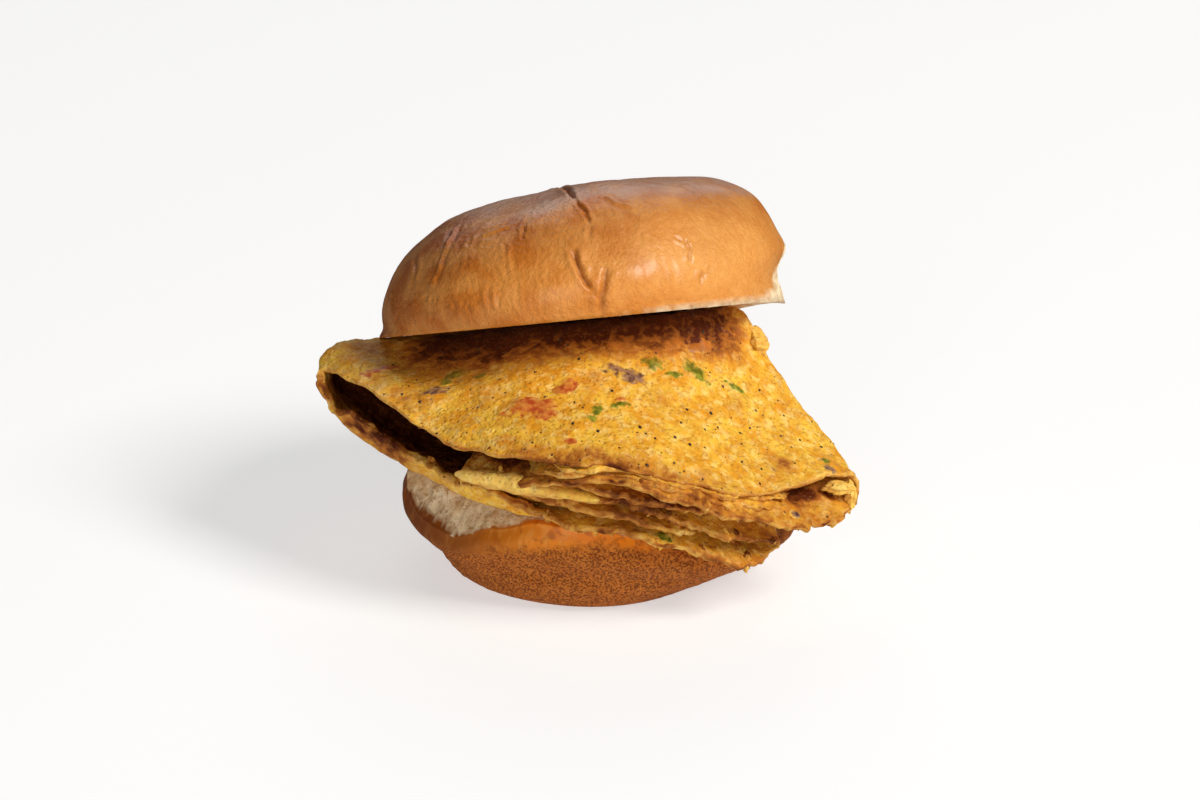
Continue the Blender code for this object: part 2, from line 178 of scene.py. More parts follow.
# How finely the sheet is cut: round EDGE, from the tail to the edge, and round the edge itself.
SHEET_SAMPLES = 440
SHEET_STATIONS = 86
CUT_ROWS = 8

# The fan's outer edge, once round its four layers and the folds that join them. Each stretch has a
# share of the sheet's thickness, how ragged it is torn, and rows of a point on the edge, its height
# in the stack (1 is the top layer), and how far a fold swells sideways behind it.
TOP_LAYER = (1.0, 0.3, (
    (64.3, -32.0, 33.8, 1.0, 2.5), (60.5, -35.5, 35.9, 1.0, 0.0), (55.0, -40.0, 37.2, 1.0, 0.0),
    (48.3, -46.0, 37.0, 1.0, 0.0), (42.0, -51.0, 36.8, 1.0, 0.0), (34.4, -56.0, 38.4, 1.0, 0.0),
    (27.0, -60.0, 41.6, 1.0, 0.0), (18.0, -62.5, 44.6, 1.0, 0.0), (9.0, -64.0, 47.6, 1.0, 0.0),
    (-1.0, -64.0, 49.4, 1.0, 0.0), (-12.0, -62.0, 49.9, 1.0, 0.0), (-23.0, -58.5, 49.7, 1.0, 0.0),
    (-33.0, -52.5, 48.9, 1.0, 0.0), (-42.0, -44.0, 50.2, 1.0, 0.0), (-49.5, -36.0, 52.8, 1.0, 0.0),
    (-57.0, -27.0, 54.6, 1.0, 0.0), (-64.0, -17.5, 55.2, 1.0, 0.0),
))
LEFT_FOLD = (1.0, 0.35, (
    (-69.2, -10.4, 55.0, 0.98, 1.0), (-71.2, -9.0, 53.8, 0.88, 2.5), (-71.0, -12.2, 50.4, 0.7, 3.0),
    (-69.2, -16.0, 46.6, 0.5, 3.5), (-65.4, -18.2, 43.0, 0.3, 3.0), (-60.0, -19.0, 39.4, 0.12, 2.0),
    (-54.6, -20.5, 35.8, 0.02, 1.0),
))
BOTTOM_LAYER = (1.0, 1.0, (
    (-46.4, -27.0, 32.6, 0.0, 0.0), (-38.5, -36.0, 31.2, 0.0, 0.0), (-28.5, -45.4, 30.6, 0.0, 0.0),
    (-17.0, -51.2, 29.8, 0.0, 0.0), (-6.0, -54.0, 28.8, 0.0, 0.0), (5.0, -55.6, 27.8, 0.0, 0.0),
    (15.0, -56.0, 25.6, 0.0, 0.0), (25.0, -54.0, 21.8, 0.0, 0.0), (34.5, -50.0, 18.0, 0.0, 0.0),
    (41.0, -45.5, 17.2, 0.0, 0.5),
))
LOWER_RIGHT_FOLD = (0.9, 1.0, (
    (45.2, -43.0, 19.6, 0.14, 3.5), (42.8, -46.5, 22.8, 0.32, 2.0),
))
THIRD_LAYER = (0.95, 1.0, (
    (35.5, -51.0, 24.8, 0.34, 0.0), (27.0, -55.5, 28.6, 0.34, 0.0), (17.0, -58.5, 33.4, 0.34, 0.0),
    (6.0, -59.5, 37.0, 0.34, 0.0), (-6.0, -58.0, 38.8, 0.34, 0.0), (-18.0, -55.0, 38.8, 0.36, 0.0),
    (-28.5, -50.0, 38.6, 0.4, 0.0),
))
INNER_LEFT_FOLD = (0.78, 0.8, (
    (-35.2, -46.6, 39.4, 0.52, 0.0),
))
SECOND_LAYER = (0.95, 0.9, (
    (-29.0, -50.5, 41.6, 0.64, 0.0), (-18.5, -58.0, 42.2, 0.67, 0.0),
    (-6.0, -62.5, 44.6, 0.68, 0.0), (6.0, -65.5, 44.8, 0.68, 0.0), (17.0, -65.8, 41.4, 0.68, 0.0),
    (27.0, -63.4, 37.2, 0.68, 0.0), (35.5, -59.5, 33.4, 0.68, 0.0), (44.5, -54.5, 30.0, 0.68, 0.0),
    (53.0, -48.8, 27.0, 0.68, 0.0),
))
UPPER_RIGHT_FOLD = (0.9, 0.6, (
    (59.6, -42.6, 26.6, 0.7, 2.0), (63.6, -37.5, 28.0, 0.76, 4.5), (65.6, -33.6, 30.6, 0.88, 5.0),
))
STRETCHES = (
    TOP_LAYER, LEFT_FOLD, BOTTOM_LAYER, LOWER_RIGHT_FOLD,
    THIRD_LAYER, INNER_LEFT_FOLD, SECOND_LAYER, UPPER_RIGHT_FOLD,
)
EDGE = [
    (share, level, swell, Vector((x, y, z)), ragged)
    for share, ragged, rows in STRETCHES
    for x, y, z, level, swell in rows
]

# Creases in the crown's crust, in its own frame: points, width, depth, and the lip beside them.
CROWN_CREASES = (
    (((-3.4, -10, 35.6), (-1.2, -20, 34.2), (-0.6, -28, 32.4), (0.6, -35, 29.8)), 0.55, 1.5, 0.25),
    (((0.6, -35.0, 29.8), (2.6, -39.6, 26.9), (4.0, -44.2, 23.4)), 0.45, 0.8, 0.2),
    (((4.0, -44.2, 23.4), (3.4, -46.0, 21.0), (3.2, -47.4, 19.0)), 0.5, 0.3, 0.1),
    (((-0.8, -48.0, 17.6), (-0.2, -49.4, 13.4), (1.2, -50.4, 9.8), (2.8, -51.2, 6.4)), 0.62, 1.1, 0.45),
    (((2.8, -51.2, 6.4), (4.0, -51.4, 5.2), (4.8, -51.6, 4.4)), 0.5, 0.4, 0.2),
    (((6.8, -50.0, 12.4), (6.2, -51.0, 8.4), (5.0, -51.6, 4.4), (4.6, -51.4, 0.6)), 0.75, 0.9, 0.3),
    (
        ((-28.6, -20, 27), (-30.8, -27.5, 22.4), (-34.2, -34.4, 16), (-37.4, -36.6, 10)),
        0.55, -0.6, -0.3,
    ),
    (((-37.4, -36.6, 10.0), (-38.2, -36.4, 6.6), (-38.0, -36.4, 4.0)), 0.5, -0.5, -0.3),
    (((-40.5, -18.1, 20.2), (-40.3, -26.0, 16.0), (-41.4, -29.0, 11.0)), 0.6, 0.45, 0.2),
    (((-46.4, -16.0, 13.0), (-47.4, -20.0, 8.4), (-46.8, -25.0, 2.0)), 0.6, 0.6, 0.25),
    (((-42.6, -30.6, 9.0), (-42.2, -31.2, 1.6)), 0.5, 0.5, 0.25),
    (((-36.0, -38.8, 9.5), (-36.3, -39.0, 1.0)), 0.5, 0.6, 0.3),
    (((-31.4, -42.8, 8.0), (-31.6, -42.6, 1.0)), 0.45, 0.4, 0.25),
    (((-27.6, -44.6, 6.6), (-27.4, -44.8, 1.0)), 0.4, 0.3, 0.2),
    (((-22.0, -46.8, 10.5), (-22.8, -47.2, 4.0)), 0.5, 0.3, 0.3),
    (((-17.3, -41.2, 21.5), (-17.9, -47.8, 12.0)), 0.45, 0.35, 0.25),
    (((-26.1, -32.2, 23.6), (-26.6, -42.0, 13.4)), 0.5, 0.25, 0.2),
    (((-12.0, -38.6, 25.0), (-13.0, -43.6, 21.0)), 0.4, 0.3, 0.2),
    (((-24.3, -35.6, 22.8), (-19.9, -36.6, 24.3), (-15.5, -36.9, 25.4)), 0.6, -0.35, -0.2),
    (((26.9, -40.5, 18.2), (28.2, -41.4, 14.6), (27.6, -42.5, 11.2)), 0.42, 0.5, 0.3),
    (((25.0, -42.0, 18.8), (26.9, -41.6, 16.6)), 0.4, 0.3, 0.2),
    (((31.0, -40.6, 9.4), (29.4, -41.8, 5.6)), 0.5, 0.5, 0.3),
    (((33.6, -38.8, 10.4), (30.4, -41.3, 7.0)), 0.45, 0.3, 0.2),
    (((7.9, -34.8, 30.2), (10.7, -38.2, 28.1), (14.8, -39.3, 26.4)), 0.6, -0.35, -0.2),
    (((28.0, -22.7, 31.0), (30.0, -25.7, 29.6), (33.3, -29.4, 25.7)), 0.6, 0.3, 0.25),
    (((-3.4, -10.0, 35.6), (-3.0, 2.0, 35.5), (-5.0, 14.0, 34.0)), 0.8, 0.9, 0.3),
)

# Broad swells of the crown: middle, in its own frame, size and height.
CROWN_SWELLS = (
    ((9.0, -24.0, 32.0), 9.0, 0.9), ((-6.0, -22.0, 33.0), 7.0, -0.5),
    ((-27.0, -8.0, 29.0), 13.0, 0.9), ((44.0, -4.0, 24.0), 14.0, 1.3),
    ((-6.0, -50.0, 10.0), 6.0, 0.5), ((14.0, -49.0, 9.0), 9.0, 0.7),
)

# How far the crown's side stands out at its heights, all round and where it is torn: height,
# width, and how far, in millimetres.
CROWN_WAIST = ((0.0, 2.5, -1.0), (9.0, 6.0, 0.6))
TEAR_PROFILE = ((0.0, 2.2, 1.2), (6.5, 4.0, -3.2), (14.0, 3.0, 1.2))

# Places round the bun, as a bearing and a width in degrees.
TORN_SIDE = (8, 34)
TORN_TIP = (2, 13)
TORN_CRUST = (9, 24)
LEFT_LIP = (184, 16)
# The crown's left side, which is painted in shade, and its right front, which is painted with a
# highlight.
PAINTED_SHADE_SIDE = (-170, 50)
PAINTED_HIGHLIGHT_SIDE = (-44, 36)
WRINKLED_LEFT = (-150, 50)
WRINKLED_RIGHT = (-58, 30)
HEEL_WAIST = (205, 20)
RAISED_FOOT = (318, 38)
ORANGE_SIDE = (268, 34)

# Rises of an edge round the bun: bearing, width, and height in millimetres.
CROWN_CRUMB_RISE = ((-42, 38, 2.3), (-6, 20, 3.5))
RIND_RISE = ((206, 13, 2.4), (252, 15, 2.4))
SOLE_RISE = ((272, 48, 11.5), (196, 16, -3.5))

# Where the heel's crumb is torn widest, how far round and how high the crown is torn, and the
# height of the sole's edge and how softly it ends.
HEEL_TEAR = 214
TEAR_REACH = 28
TEAR_HEIGHT = 23.0
SOLE_EDGE = 11.2
SOLE_FADE = 4.5

# Noise in the surfaces: size of its bumps in millimetres, seed, and height.
CROWN_LUMPS = ((26.0, 1, 0.9), (9.0, 2, 0.35))
TORN_RIND = ((2.6, 31, 0.5), (1.1, 32, 0.3))
TEAR_WANDER = ((4.0, 37, 2.2), (1.6, 38, 1.0))
RIND_WANDER = ((3.4, 53, 1.0), (1.1, 54, 0.9))
SOLE_WANDER = ((9.0, 51, 1.8), (3.4, 52, 1.8), (1.4, 50, 1.2))
SOLE_PITS = ((1.3, 55, 0.7), (2.6, 56, 0.5))
EDGE_TEARS = ((2.9, 62, 1.1), (1.2, 63, 0.8))
EGG_LUMPS = ((7.0, 71, 0.42), (3.0, 72, 0.22))
FRINGE = ((4.0, 78, 1.0), (1.8, 70, 0.5))

# Pieces of vegetable in the egg, seen from above: x, y, length, width, and turn in degrees, and
# the height under which a piece in a lower layer lies.
TOMATO_PLACES = (
    (-17.5, -44.6, 14.5, 8.4, -8), (-13.2, -47.6, 7.0, 4.4, 20), (-8.4, -39.6, 7.4, 5.4, 24),
    (-7.1, -57.8, 3.6, 2.6, 0), (-55.4, -16.8, 10.5, 3.0, 12), (-59.5, -18.6, 4.4, 2.6, -20),
    (8.8, -23.6, 15.0, 9.0, 10), (17.6, -22.6, 9.0, 7.0, -14), (5.0, -43.2, 3.4, 2.4, 40),
    (27.0, -20.0, 4.0, 3.0, 0),
)
CHILLI_PLACES = (
    (-36.8, -24.1, 9.6, 3.9, 32), (-38.9, -26.9, 5.0, 3.0, 40), (-30.3, -27.2, 5.0, 2.6, 0),
    (-0.9, -47.4, 4.6, 3.8, 50), (-2.2, -50.6, 3.6, 3.0, 20), (5.2, -44.9, 5.0, 2.8, 12),
    (13.6, -30.6, 5.8, 4.6, -10), (24.2, -28.2, 9.2, 5.0, -30), (18.6, -32.0, 5.0, 2.6, 10),
    (-19.8, -21.4, 11.0, 3.4, 16), (34.4, -25.4, 7.4, 2.4, -22), (57.2, -33.8, 3.4, 2.4, 0),
    (15.7, -54.9, 5.2, 3.0, -14, 31.0),
)
ONION_PLACES = (
    (8.0, -35.2, 9.6, 5.4, -24), (3.0, -33.0, 5.4, 4.0, -10), (-41.4, -30.2, 7.6, 3.8, 8),
    (24.6, -22.4, 9.0, 3.4, 16), (58.0, -36.6, 4.0, 3.0, 20), (48.7, -49.1, 3.6, 3.0, 0),
)

# Browned places of the egg, and places painted in shadow: middle, size, and how dark.
TOASTED_AND_SHADED = (
    ((46.4, -40.8, 41.0), 3.0, 0.5), ((47.8, -42.0, 32.4), 2.8, 1.5),
    ((51.7, -39.2, 32.0), 2.8, 1.3), ((56.9, -35.6, 31.2), 2.6, 0.8),
    # The five places from here to (-40, -8, 62) lie under the crown's front edge and are painted
    # shadow; the one at (-40, -22, 58) is painted shade on the egg's upper left.
    ((12.0, -16.0, 71.0), 12.0, 1.5), ((27.0, -11.0, 67.0), 10.0, 1.1),
    ((-6.0, -15.0, 69.0), 12.0, 1.4), ((-24.0, -13.0, 66.0), 11.0, 1.3),
    ((-40.0, -8.0, 62.0), 9.0, 1.3), ((-61.0, -8.0, 60.0), 10.0, 0.35),
    ((-40.0, -22.0, 58.0), 14.0, 0.28), ((-52.0, -20.0, 37.0), 5.5, 0.6),
    ((-57.0, -15.0, 39.0), 4.0, 0.3), ((36.0, -48.0, 20.0), 11.0, 0.45),
    ((6.0, -56.0, 33.0), 9.0, 0.4), ((-14.0, -55.0, 34.0), 9.0, 0.35),
    ((14.0, -60.0, 40.0), 9.0, 0.3),
)

# Thin leaves of egg between two layers' rims: how high between them, from and to along X, how far
# they lie behind the rims, and their thickness as a share of the sheet's.
STRATA = (
    ("top", "second", 0.72, -18.0, 56.0, 0.4, 0.85),
    ("top", "second", 0.40, -24.0, 55.0, 1.0, 0.95),
    ("second", "third", 0.52, -32.0, 33.0, 1.4, 1.15),
    ("third", "bottom", 0.54, -33.0, 30.0, 1.4, 1.15),
)
STRATA_SAMPLES = 200

# Rows of EDGE along each layer's rim.
RIM_ROWS = {"top": (1, 14), "second": (44, 53), "third": (36, 43), "bottom": (26, 34)}

# The bright flap at the left end of the inner folds: its two ends, and its girth across and up.
FLAP_ENDS = ((-36.2, -50.4, 41.8), (0.0, -60.6, 38.4))
FLAP_GIRTH = (3.2, 2.7)

# Pale lobes of egg at the fold's right edge and in the mouth of its corner: middle and size.
LOBES = (
    ((40.6, -8.6, 61.4), (3.0, 4.6, 3.4)),
    ((60.6, -38.2, 33.2), (4.2, 1.8, 1.5)),
    ((63.6, -36.6, 30.4), (1.5, 1.8, 3.4)),
)

# Shreds on the rims: how many, the thickness under them, stretches of EDGE, and how often each.
SHRED_COUNT = 120
SHRED_SHEET = 2.8
SHRED_SEED = 5
SHRED_PLACES = ((24, 33), (33, 36), (36, 43), (44, 52), (52, 56), (0, 14))
SHRED_WEIGHTS = (5, 1, 4, 3, 1, 1)

# The studio: each light's name, place, size and colour, and the floor and the aim of the camera.
WHITE = (1.0, 1.0, 1.0)
WARM_WHITE = (1.0, 0.97, 0.92)
COOL_WHITE = (0.97, 0.985, 1.0)
LIGHTS = (
    ("key", (2.2, -1.6, 2.4), 1.2, WARM_WHITE),
    ("back", (-0.15, 2.4, 1.9), 2.2, COOL_WHITE),
    ("fill", (-0.6, -2.6, 0.85), 1.2, COOL_WHITE),
)
FLOOR_HALF = 6.0
FLOOR_GREY = (0.5, 0.5, 0.5)
FLOOR_GLOW = 0.56
LIT_PLACE = Vector((0, 0, 0.05))
CAMERA_TARGET = Vector((0, 0, 0.043))
SENSOR_WIDTH = 36.0

# Ground pepper: the size of coarse flakes, the least and the spread of fine ones, and, in metres,
# the back edge of where it lies and the least height of the upper egg, where most of it is.
PEPPER_SEED = 11
COARSE_FLAKES = (0.75, 1.25)
FINE_FLAKES = (0.26, 0.62)
PEPPER_BACK = -0.01
PEPPER_HEIGHT = 0.030
PEPPER_SLOPE = 0.3

# Coarse flakes that the viewer notices, by their place in the top layer.
PEPPER_PLACES = (
    (-39.0, -25.3), (-40.6, -45.2), (-45.3, -33.4), (-50.0, -29.5), (-42.3, -31.3), (-43.6, -30.7),
    (-13.7, -41.5), (-6.7, -51.9), (21.7, -40.1), (27.8, -37.3), (39.5, -27.6), (31.1, -27.6),
    (33.7, -26.0), (-0.5, -53.9), (3.0, -40.2), (13.6, -53.7), (11.5, -61.7), (9.9, -51.3),
    (18.6, -50.3), (22.3, -50.3), (26.2, -43.8), (29.5, -40.2), (35.2, -36.9), (35.4, -46.8),
    (39.8, -50.6), (50.7, -29.3), (5.5, -44.5), (-5.3, -30.2), (-8.1, -24.6), (26.2, -17.6),
    (-31.2, -15.0), (-10.1, -22.5),
)


def smooth(t):
    """0 to 1 with a gentle start and end."""
    t = min(1.0, max(0.0, t))
    return t * t * (3 - 2 * t)


def bell(x, centre, width):
    """1 at the centre, falling to nearly 0 two widths away."""
    return math.exp(-((x - centre) / width) ** 2)


def bells(x, rows):
    """The sum of some bells at x: rows of a centre, a width and a height."""
    return sum(height * bell(x, centre, width) for centre, width, height in rows)


def angle_bell(angle, centre, width):
    """bell() for angles in degrees."""
    off = (angle - centre + 180) % 360 - 180
    return math.exp(-((off / width) ** 2))


def swells(point, rows):
    """The sum at a point of rounded swells: rows of a middle, a size and a height."""
    return sum(
        height * bell((point - Vector(middle)).length, 0.0, size) for middle, size, height in rows
    )


def marks(bm, names):
    """The named layers of numbers at a mesh's points, added where they are missing."""
    layers = bm.verts.layers.float
    return [layers[name] if name in layers.keys() else layers.new(name) for name in names]


def on_sphere(vert, crowding):
    """The bearing of a round mesh's point, crowded to one side, and its depth from 0 to 1."""
    azimuth = math.atan2(vert.co.y, vert.co.x)
    azimuth -= crowding * math.cos(azimuth)
    return azimuth, math.acos(max(-1.0, min(1.0, vert.co.z))) / math.pi


def add_ball(bm, detail):
    """The points of a new ball of radius 1 made of triangles."""
    return bmesh.ops.create_icosphere(bm, subdivisions=detail, radius=1.0)["verts"]


def add_globe(bm, around, down):
    """The points of a new ball of radius 1 with so many faces around it and from top to bottom."""
    return bmesh.ops.create_uvsphere(bm, u_segments=around, v_segments=down, radius=1.0)["verts"]


def soft_min(a, b, blend):
    """The smaller of two heights, with a rounded meeting."""
    h = max(blend - abs(a - b), 0.0) / blend
    return min(a, b) - h * h * blend / 4


def ripple(point, size, seed):
    """Smooth noise from -1 to 1 with bumps of about the given size."""
    return noise.noise(Vector(point) / size + Vector((seed * 7.3, seed * 3.1, seed * 5.7)))


def ripples(point, rows):
    """The sum of some noises at a point: rows of a size, a seed and a height."""
    return sum(height * ripple(point, size, seed) for size, seed, height in rows)


def bearings(degrees, rows):
    """The sum of some rises round an axis: rows of a bearing, a width and a height."""
    return sum(height * angle_bell(degrees, middle, width) for middle, width, height in rows)


def through(values, t):
    """A smooth closed curve through evenly spaced values, read at t in steps of one value."""
    count = len(values)
    i = math.floor(t)
    f = t - i
    p0, p1, p2, p3 = (values[(i + k) % count] for k in (-1, 0, 1, 2))
    return (
        p1
        + (p2 - p0) * (0.5 * f)
        + (p0 * 2 - p1 * 5 + p2 * 4 - p3) * (0.5 * f * f)
        + (p1 * 3 - p0 - p2 * 3 + p3) * (0.5 * f * f * f)
    )


def from_path(point, path):
    """Distance from a point to a path of points, and how far along it the nearest place is."""
    nearest = 1e9
    along = 0.0
    for i, (a, b) in enumerate(zip(path, path[1:])):
        run = b - a
        f = min(1.0, max(0.0, (point - a).dot(run) / run.length_squared))
        away = (point - a - run * f).length
        if away < nearest:
            nearest = away
            along = (i + f) / (len(path) - 1)
    return nearest, along


# The bun's crown

def crown_matrix():
    """Places the crown's own frame over the omelette."""
    turn = Euler((-CROWN_PITCH, 0, 0)).to_matrix() @ Euler((0, -CROWN_ROLL, 0)).to_matrix()
    return Matrix.Translation(CROWN_CENTRE) @ turn.to_4x4()


def crown_sag(y):
    """How far the crown's back droops, y millimetres behind its middle."""
    over = max(0.0, y - CROWN_SAG_START) / (CROWN_RADIUS - CROWN_SAG_START)
    return CROWN_SAG * over * over


def crown_base(x, y):
    """Height of the crown's cut face over a point of the table."""
    dx = x - CROWN_CENTRE.x
    dy = y - CROWN_CENTRE.y
    level = CROWN_CENTRE.z - dy * math.tan(CROWN_PITCH) + dx * math.tan(CROWN_ROLL)
    return level - crown_sag(dy / math.cos(CROWN_PITCH)) / math.cos(CROWN_PITCH)


def crown_point(azimuth, depth):
    """A point of the crown's skin: depth 0 is the dome's top, and depth 1 its cut edge."""
    degrees = math.degrees(azimuth)
    power = 2.0 / (2.87 + 0.5 * math.cos(azimuth))
    t = depth * math.pi / 2
    reach = math.sin(t) ** power
    rise = max(0.0, math.cos(t)) ** power
    radius = CROWN_RADIUS * (1 + 0.012 * math.cos(2 * azimuth - 0.6) + 0.008 * math.cos(3 * azimuth))
    x = radius * reach * math.cos(azimuth)
    y = radius * reach * math.sin(azimuth)
    z = (CROWN_HEIGHT + 2.4 * math.cos(azimuth) * reach) * rise
    tear = angle_bell(degrees, *TORN_SIDE)
    pull = bells(z, CROWN_WAIST) + tear * bells(z, TEAR_PROFILE)
    tip = angle_bell(degrees, *TORN_TIP) * bell(z, 0.0, 3.0)
    pull -= 0.6 * tip
    pull += 2.2 * angle_bell(degrees, *LEFT_LIP) * bell(z, 0.0, 1.8)
    x += pull * math.cos(azimuth)
    y += pull * math.sin(azimuth)
    z -= 0.8 * tear * bell(z, 0.0, 2.0) + 0.4 * tip
    return Vector((x, y, z))


def crease_relief(point, creases):
    """How far the creases sink the crust at a point, and how deep in one it lies, from 0 to 1."""
    sink = 0.0
    inside = 0.0
    for path, middle, reach, width, depth, lip in creases:
        if (point - middle).length > reach:
            continue
        wander = Vector((ripple(point, 2.2, 21), ripple(point, 2.2, 22), 0.0)) * 0.55
        away, along = from_path(point + wander, path)
        fade = smooth(4.0 * min(along, 1 - along) + 0.15)
        groove = fade * math.exp(-((away / width) ** 2))
        rim = fade * math.exp(-(((away - 2.4 * width) / (1.3 * width)) ** 2))
        sink += depth * groove - lip * rim
        inside = max(inside, groove * min(1.0, max(0.0, 1.3 * depth)))
    return sink, inside


def onto_crown(point):
    """The place on the crown's skin in the direction of a point, seen from the cut face's middle."""
    azimuth = math.atan2(point.y, point.x)
    slope = point.z / point.to_2d().length
    low = 0.0
    high = 1.0
    for _ in range(30):
        depth = (low + high) / 2
        skin = crown_point(azimuth, depth)
        if skin.z > slope * skin.to_2d().length:
            low = depth
        else:
            high = depth
    return skin


def prepared_creases():
    """CROWN_CREASES with vectors, and a sphere round each outside which it has no effect."""
    ready = []
    for points, width, depth, lip in CROWN_CREASES:
        path = [onto_crown(Vector(point)) for point in points]
        middle = sum(path, Vector()) / len(path)
        reach = max((point - middle).length for point in path) + 4.5 * width
        ready.append((path, middle, reach, width, depth, lip))
    return ready


def build_crown(settings):
    """The crown, out of a ball, with its crumb, creases, browning, and painted shade, highlight and
    sheen marked.
    """
    bm = bmesh.new()
    crumb, crease, baked, dusty, honeyed = marks(bm, CROWN_MARKS)
    creases = prepared_creases()
    place = crown_matrix()
    for vert in add_globe(bm, CROWN_SEGMENTS, CROWN_RINGS):
        azimuth, polar = on_sphere(vert, CROWN_CROWDING)
        degrees = math.degrees(azimuth)
        if polar <= CROWN_DOME_SHARE:
            point = crown_point(azimuth, polar / CROWN_DOME_SHARE)
            inward = Vector((point.x, point.y, 1.4 * point.z)).normalized()
            sink, inside = crease_relief(point, creases)
            swell = ripples(point, CROWN_LUMPS)
            swell += swells(point, CROWN_SWELLS)
            swell += settings.wrinkle_depth * MILLIMETRES * crust_wrinkles(point, degrees)
            swell *= smooth(point.z / 8.0)
            torn = torn_side(point, degrees)
            swell += torn * ripples(point, TORN_RIND)
            point += inward * (swell - sink * (1 - torn))
            line = 0.6 * ripple(point, 3.0, 33) - 1.3
            line += bearings(degrees, CROWN_CRUMB_RISE)
            vert[crumb] = max(torn, 1 - smooth((point.z - line) / 0.7 + 0.5))
            # The creases are darker inside: partly the colour of the cracked crust, partly painted
            # shade in their grooves.
            vert[crease] = inside
            vert[baked] = smooth((point.z - 8.0) / 30.0 + 0.35 * ripple(point, 16.0, 34))
            # Painted shade: the crown's left side, away from the key light, is made darker.
            vert[baked] += 0.95 * angle_bell(degrees, *PAINTED_SHADE_SIDE)
            # Painted sheen: the crown's top is paler and greyer, like the back light's reflection, and
            # fades towards the back.
            vert[dusty] = smooth((point.z - 27.0 + 4.0 * ripple(point, 11.0, 44)) / 4.0)
            vert[dusty] *= 1 - 0.85 * smooth((point.y + 2.0) / 16.0)
            # Painted highlight: the crown's right front, where the key light falls most, is paler.
            vert[honeyed] = angle_bell(degrees, *PAINTED_HIGHLIGHT_SIDE) * bell(point.z, 12.0, 14.0)
        else:
            inset = 1 - (polar - CROWN_DOME_SHARE) / (1 - CROWN_DOME_SHARE)
            edge = crown_point(azimuth, 1.0)
            point = edge * (inset * 0.985)
            point.z = 0.35 * ripple(point, 7.0, 3) * smooth(3 * (1 - inset)) + 0.35
            point.z += open_crumb(point) * smooth(6 * (1 - inset))
            under = (1 - inset) * CROWN_RADIUS + 1.4 * angle_bell(degrees, -20, 40)
            vert[crumb] = smooth((under - 1.8 + 0.5 * ripple(point, 3.0, 39)) / 0.6)
        point.z -= crown_sag(point.y)
        vert.co = place @ point
    return bm


def crust_wrinkles(point, degrees):
    """Fine upright wrinkles in the crown's crust, strongest on its left, from about -1 to 1."""
    tall = Vector((point.x, point.y, 0.18 * point.z))
    left = 0.2 + 0.8 * angle_bell(degrees, *WRINKLED_LEFT)
    right = angle_bell(degrees, *WRINKLED_RIGHT)
    folds = 0.5 - abs(ripple(tall, 3.4, 45) + 0.5 * ripple(point, 1.7, 46))
    return left * ripple(tall, 2.6, 35) + 0.9 * right * folds + 0.15 * ripple(point, 1.2, 36)


def torn_side(point, degrees):
    """1 where the crown was torn from the bun next to it, on its right, and crumb shows."""
    wander = ripples(point, TEAR_WANDER)
    across = TEAR_REACH - abs(degrees - TORN_CRUST[0]) + wander
    height = TEAR_HEIGHT * angle_bell(degrees, *TORN_CRUST) - 1.5
    return smooth((height - point.z + wander) / 1.6) * smooth(across / 4)


def open_crumb(point):
    """Relief of torn or cut crumb: small holes between soft walls, in millimetres."""
    holes = max(0.0, ripple(point, 3.4, 41) - 0.12)
    fine = max(0.0, ripple(point, 1.5, 42) - 0.05)
    return 0.25 * ripple(point, 6.0, 43) + 1.1 * holes + 0.7 * fine


# The bun's heel

def heel_heights(angle):
    """The crumb's and the crust's height round the heel's rim, at an angle in degrees."""
    angle %= 360
    rows = HEEL_HEIGHTS + ((HEEL_HEIGHTS[0][0] + 360,) + HEEL_HEIGHTS[0][1:],)
    for low, high in zip(rows, rows[1:]):
        if low[0] <= angle <= high[0]:
            f = smooth((angle - low[0]) / (high[0] - low[0]))
            return low[1] + (high[1] - low[1]) * f, low[2] + (high[2] - low[2]) * f
    raise ValueError(angle)


def heel_face(x, y):
    """Height of the heel's crumb under the omelette, carried on past the rim."""
    crumb, _ = heel_heights(math.degrees(math.atan2(y, x)))
    return HEEL_MIDDLE + (crumb - HEEL_MIDDLE) * smooth(math.hypot(x, y) / 44.0)


def heel_side(degrees, height, crust):
    """Radius of the heel's side at a height, on a bearing where the crust ends at another."""
    foot = FOOT_BULGE * min(1.0, height / FOOT_HEIGHT) ** 0.6
    side = (HEEL_RADIUS - FOOT_RADIUS - FOOT_BULGE) * smooth((height / crust - 0.34) / 0.42)
    waist = 2.6 * angle_bell(degrees, *HEEL_WAIST) * bell(height, 9.5, 5.0)
    lift = FOOT_LIFT * angle_bell(degrees, *RAISED_FOOT) * (1 - smooth(height / 8.0))
    return FOOT_RADIUS + foot + side - waist - lift - 1.2 * smooth((height - crust + 4.0) / 4.0)


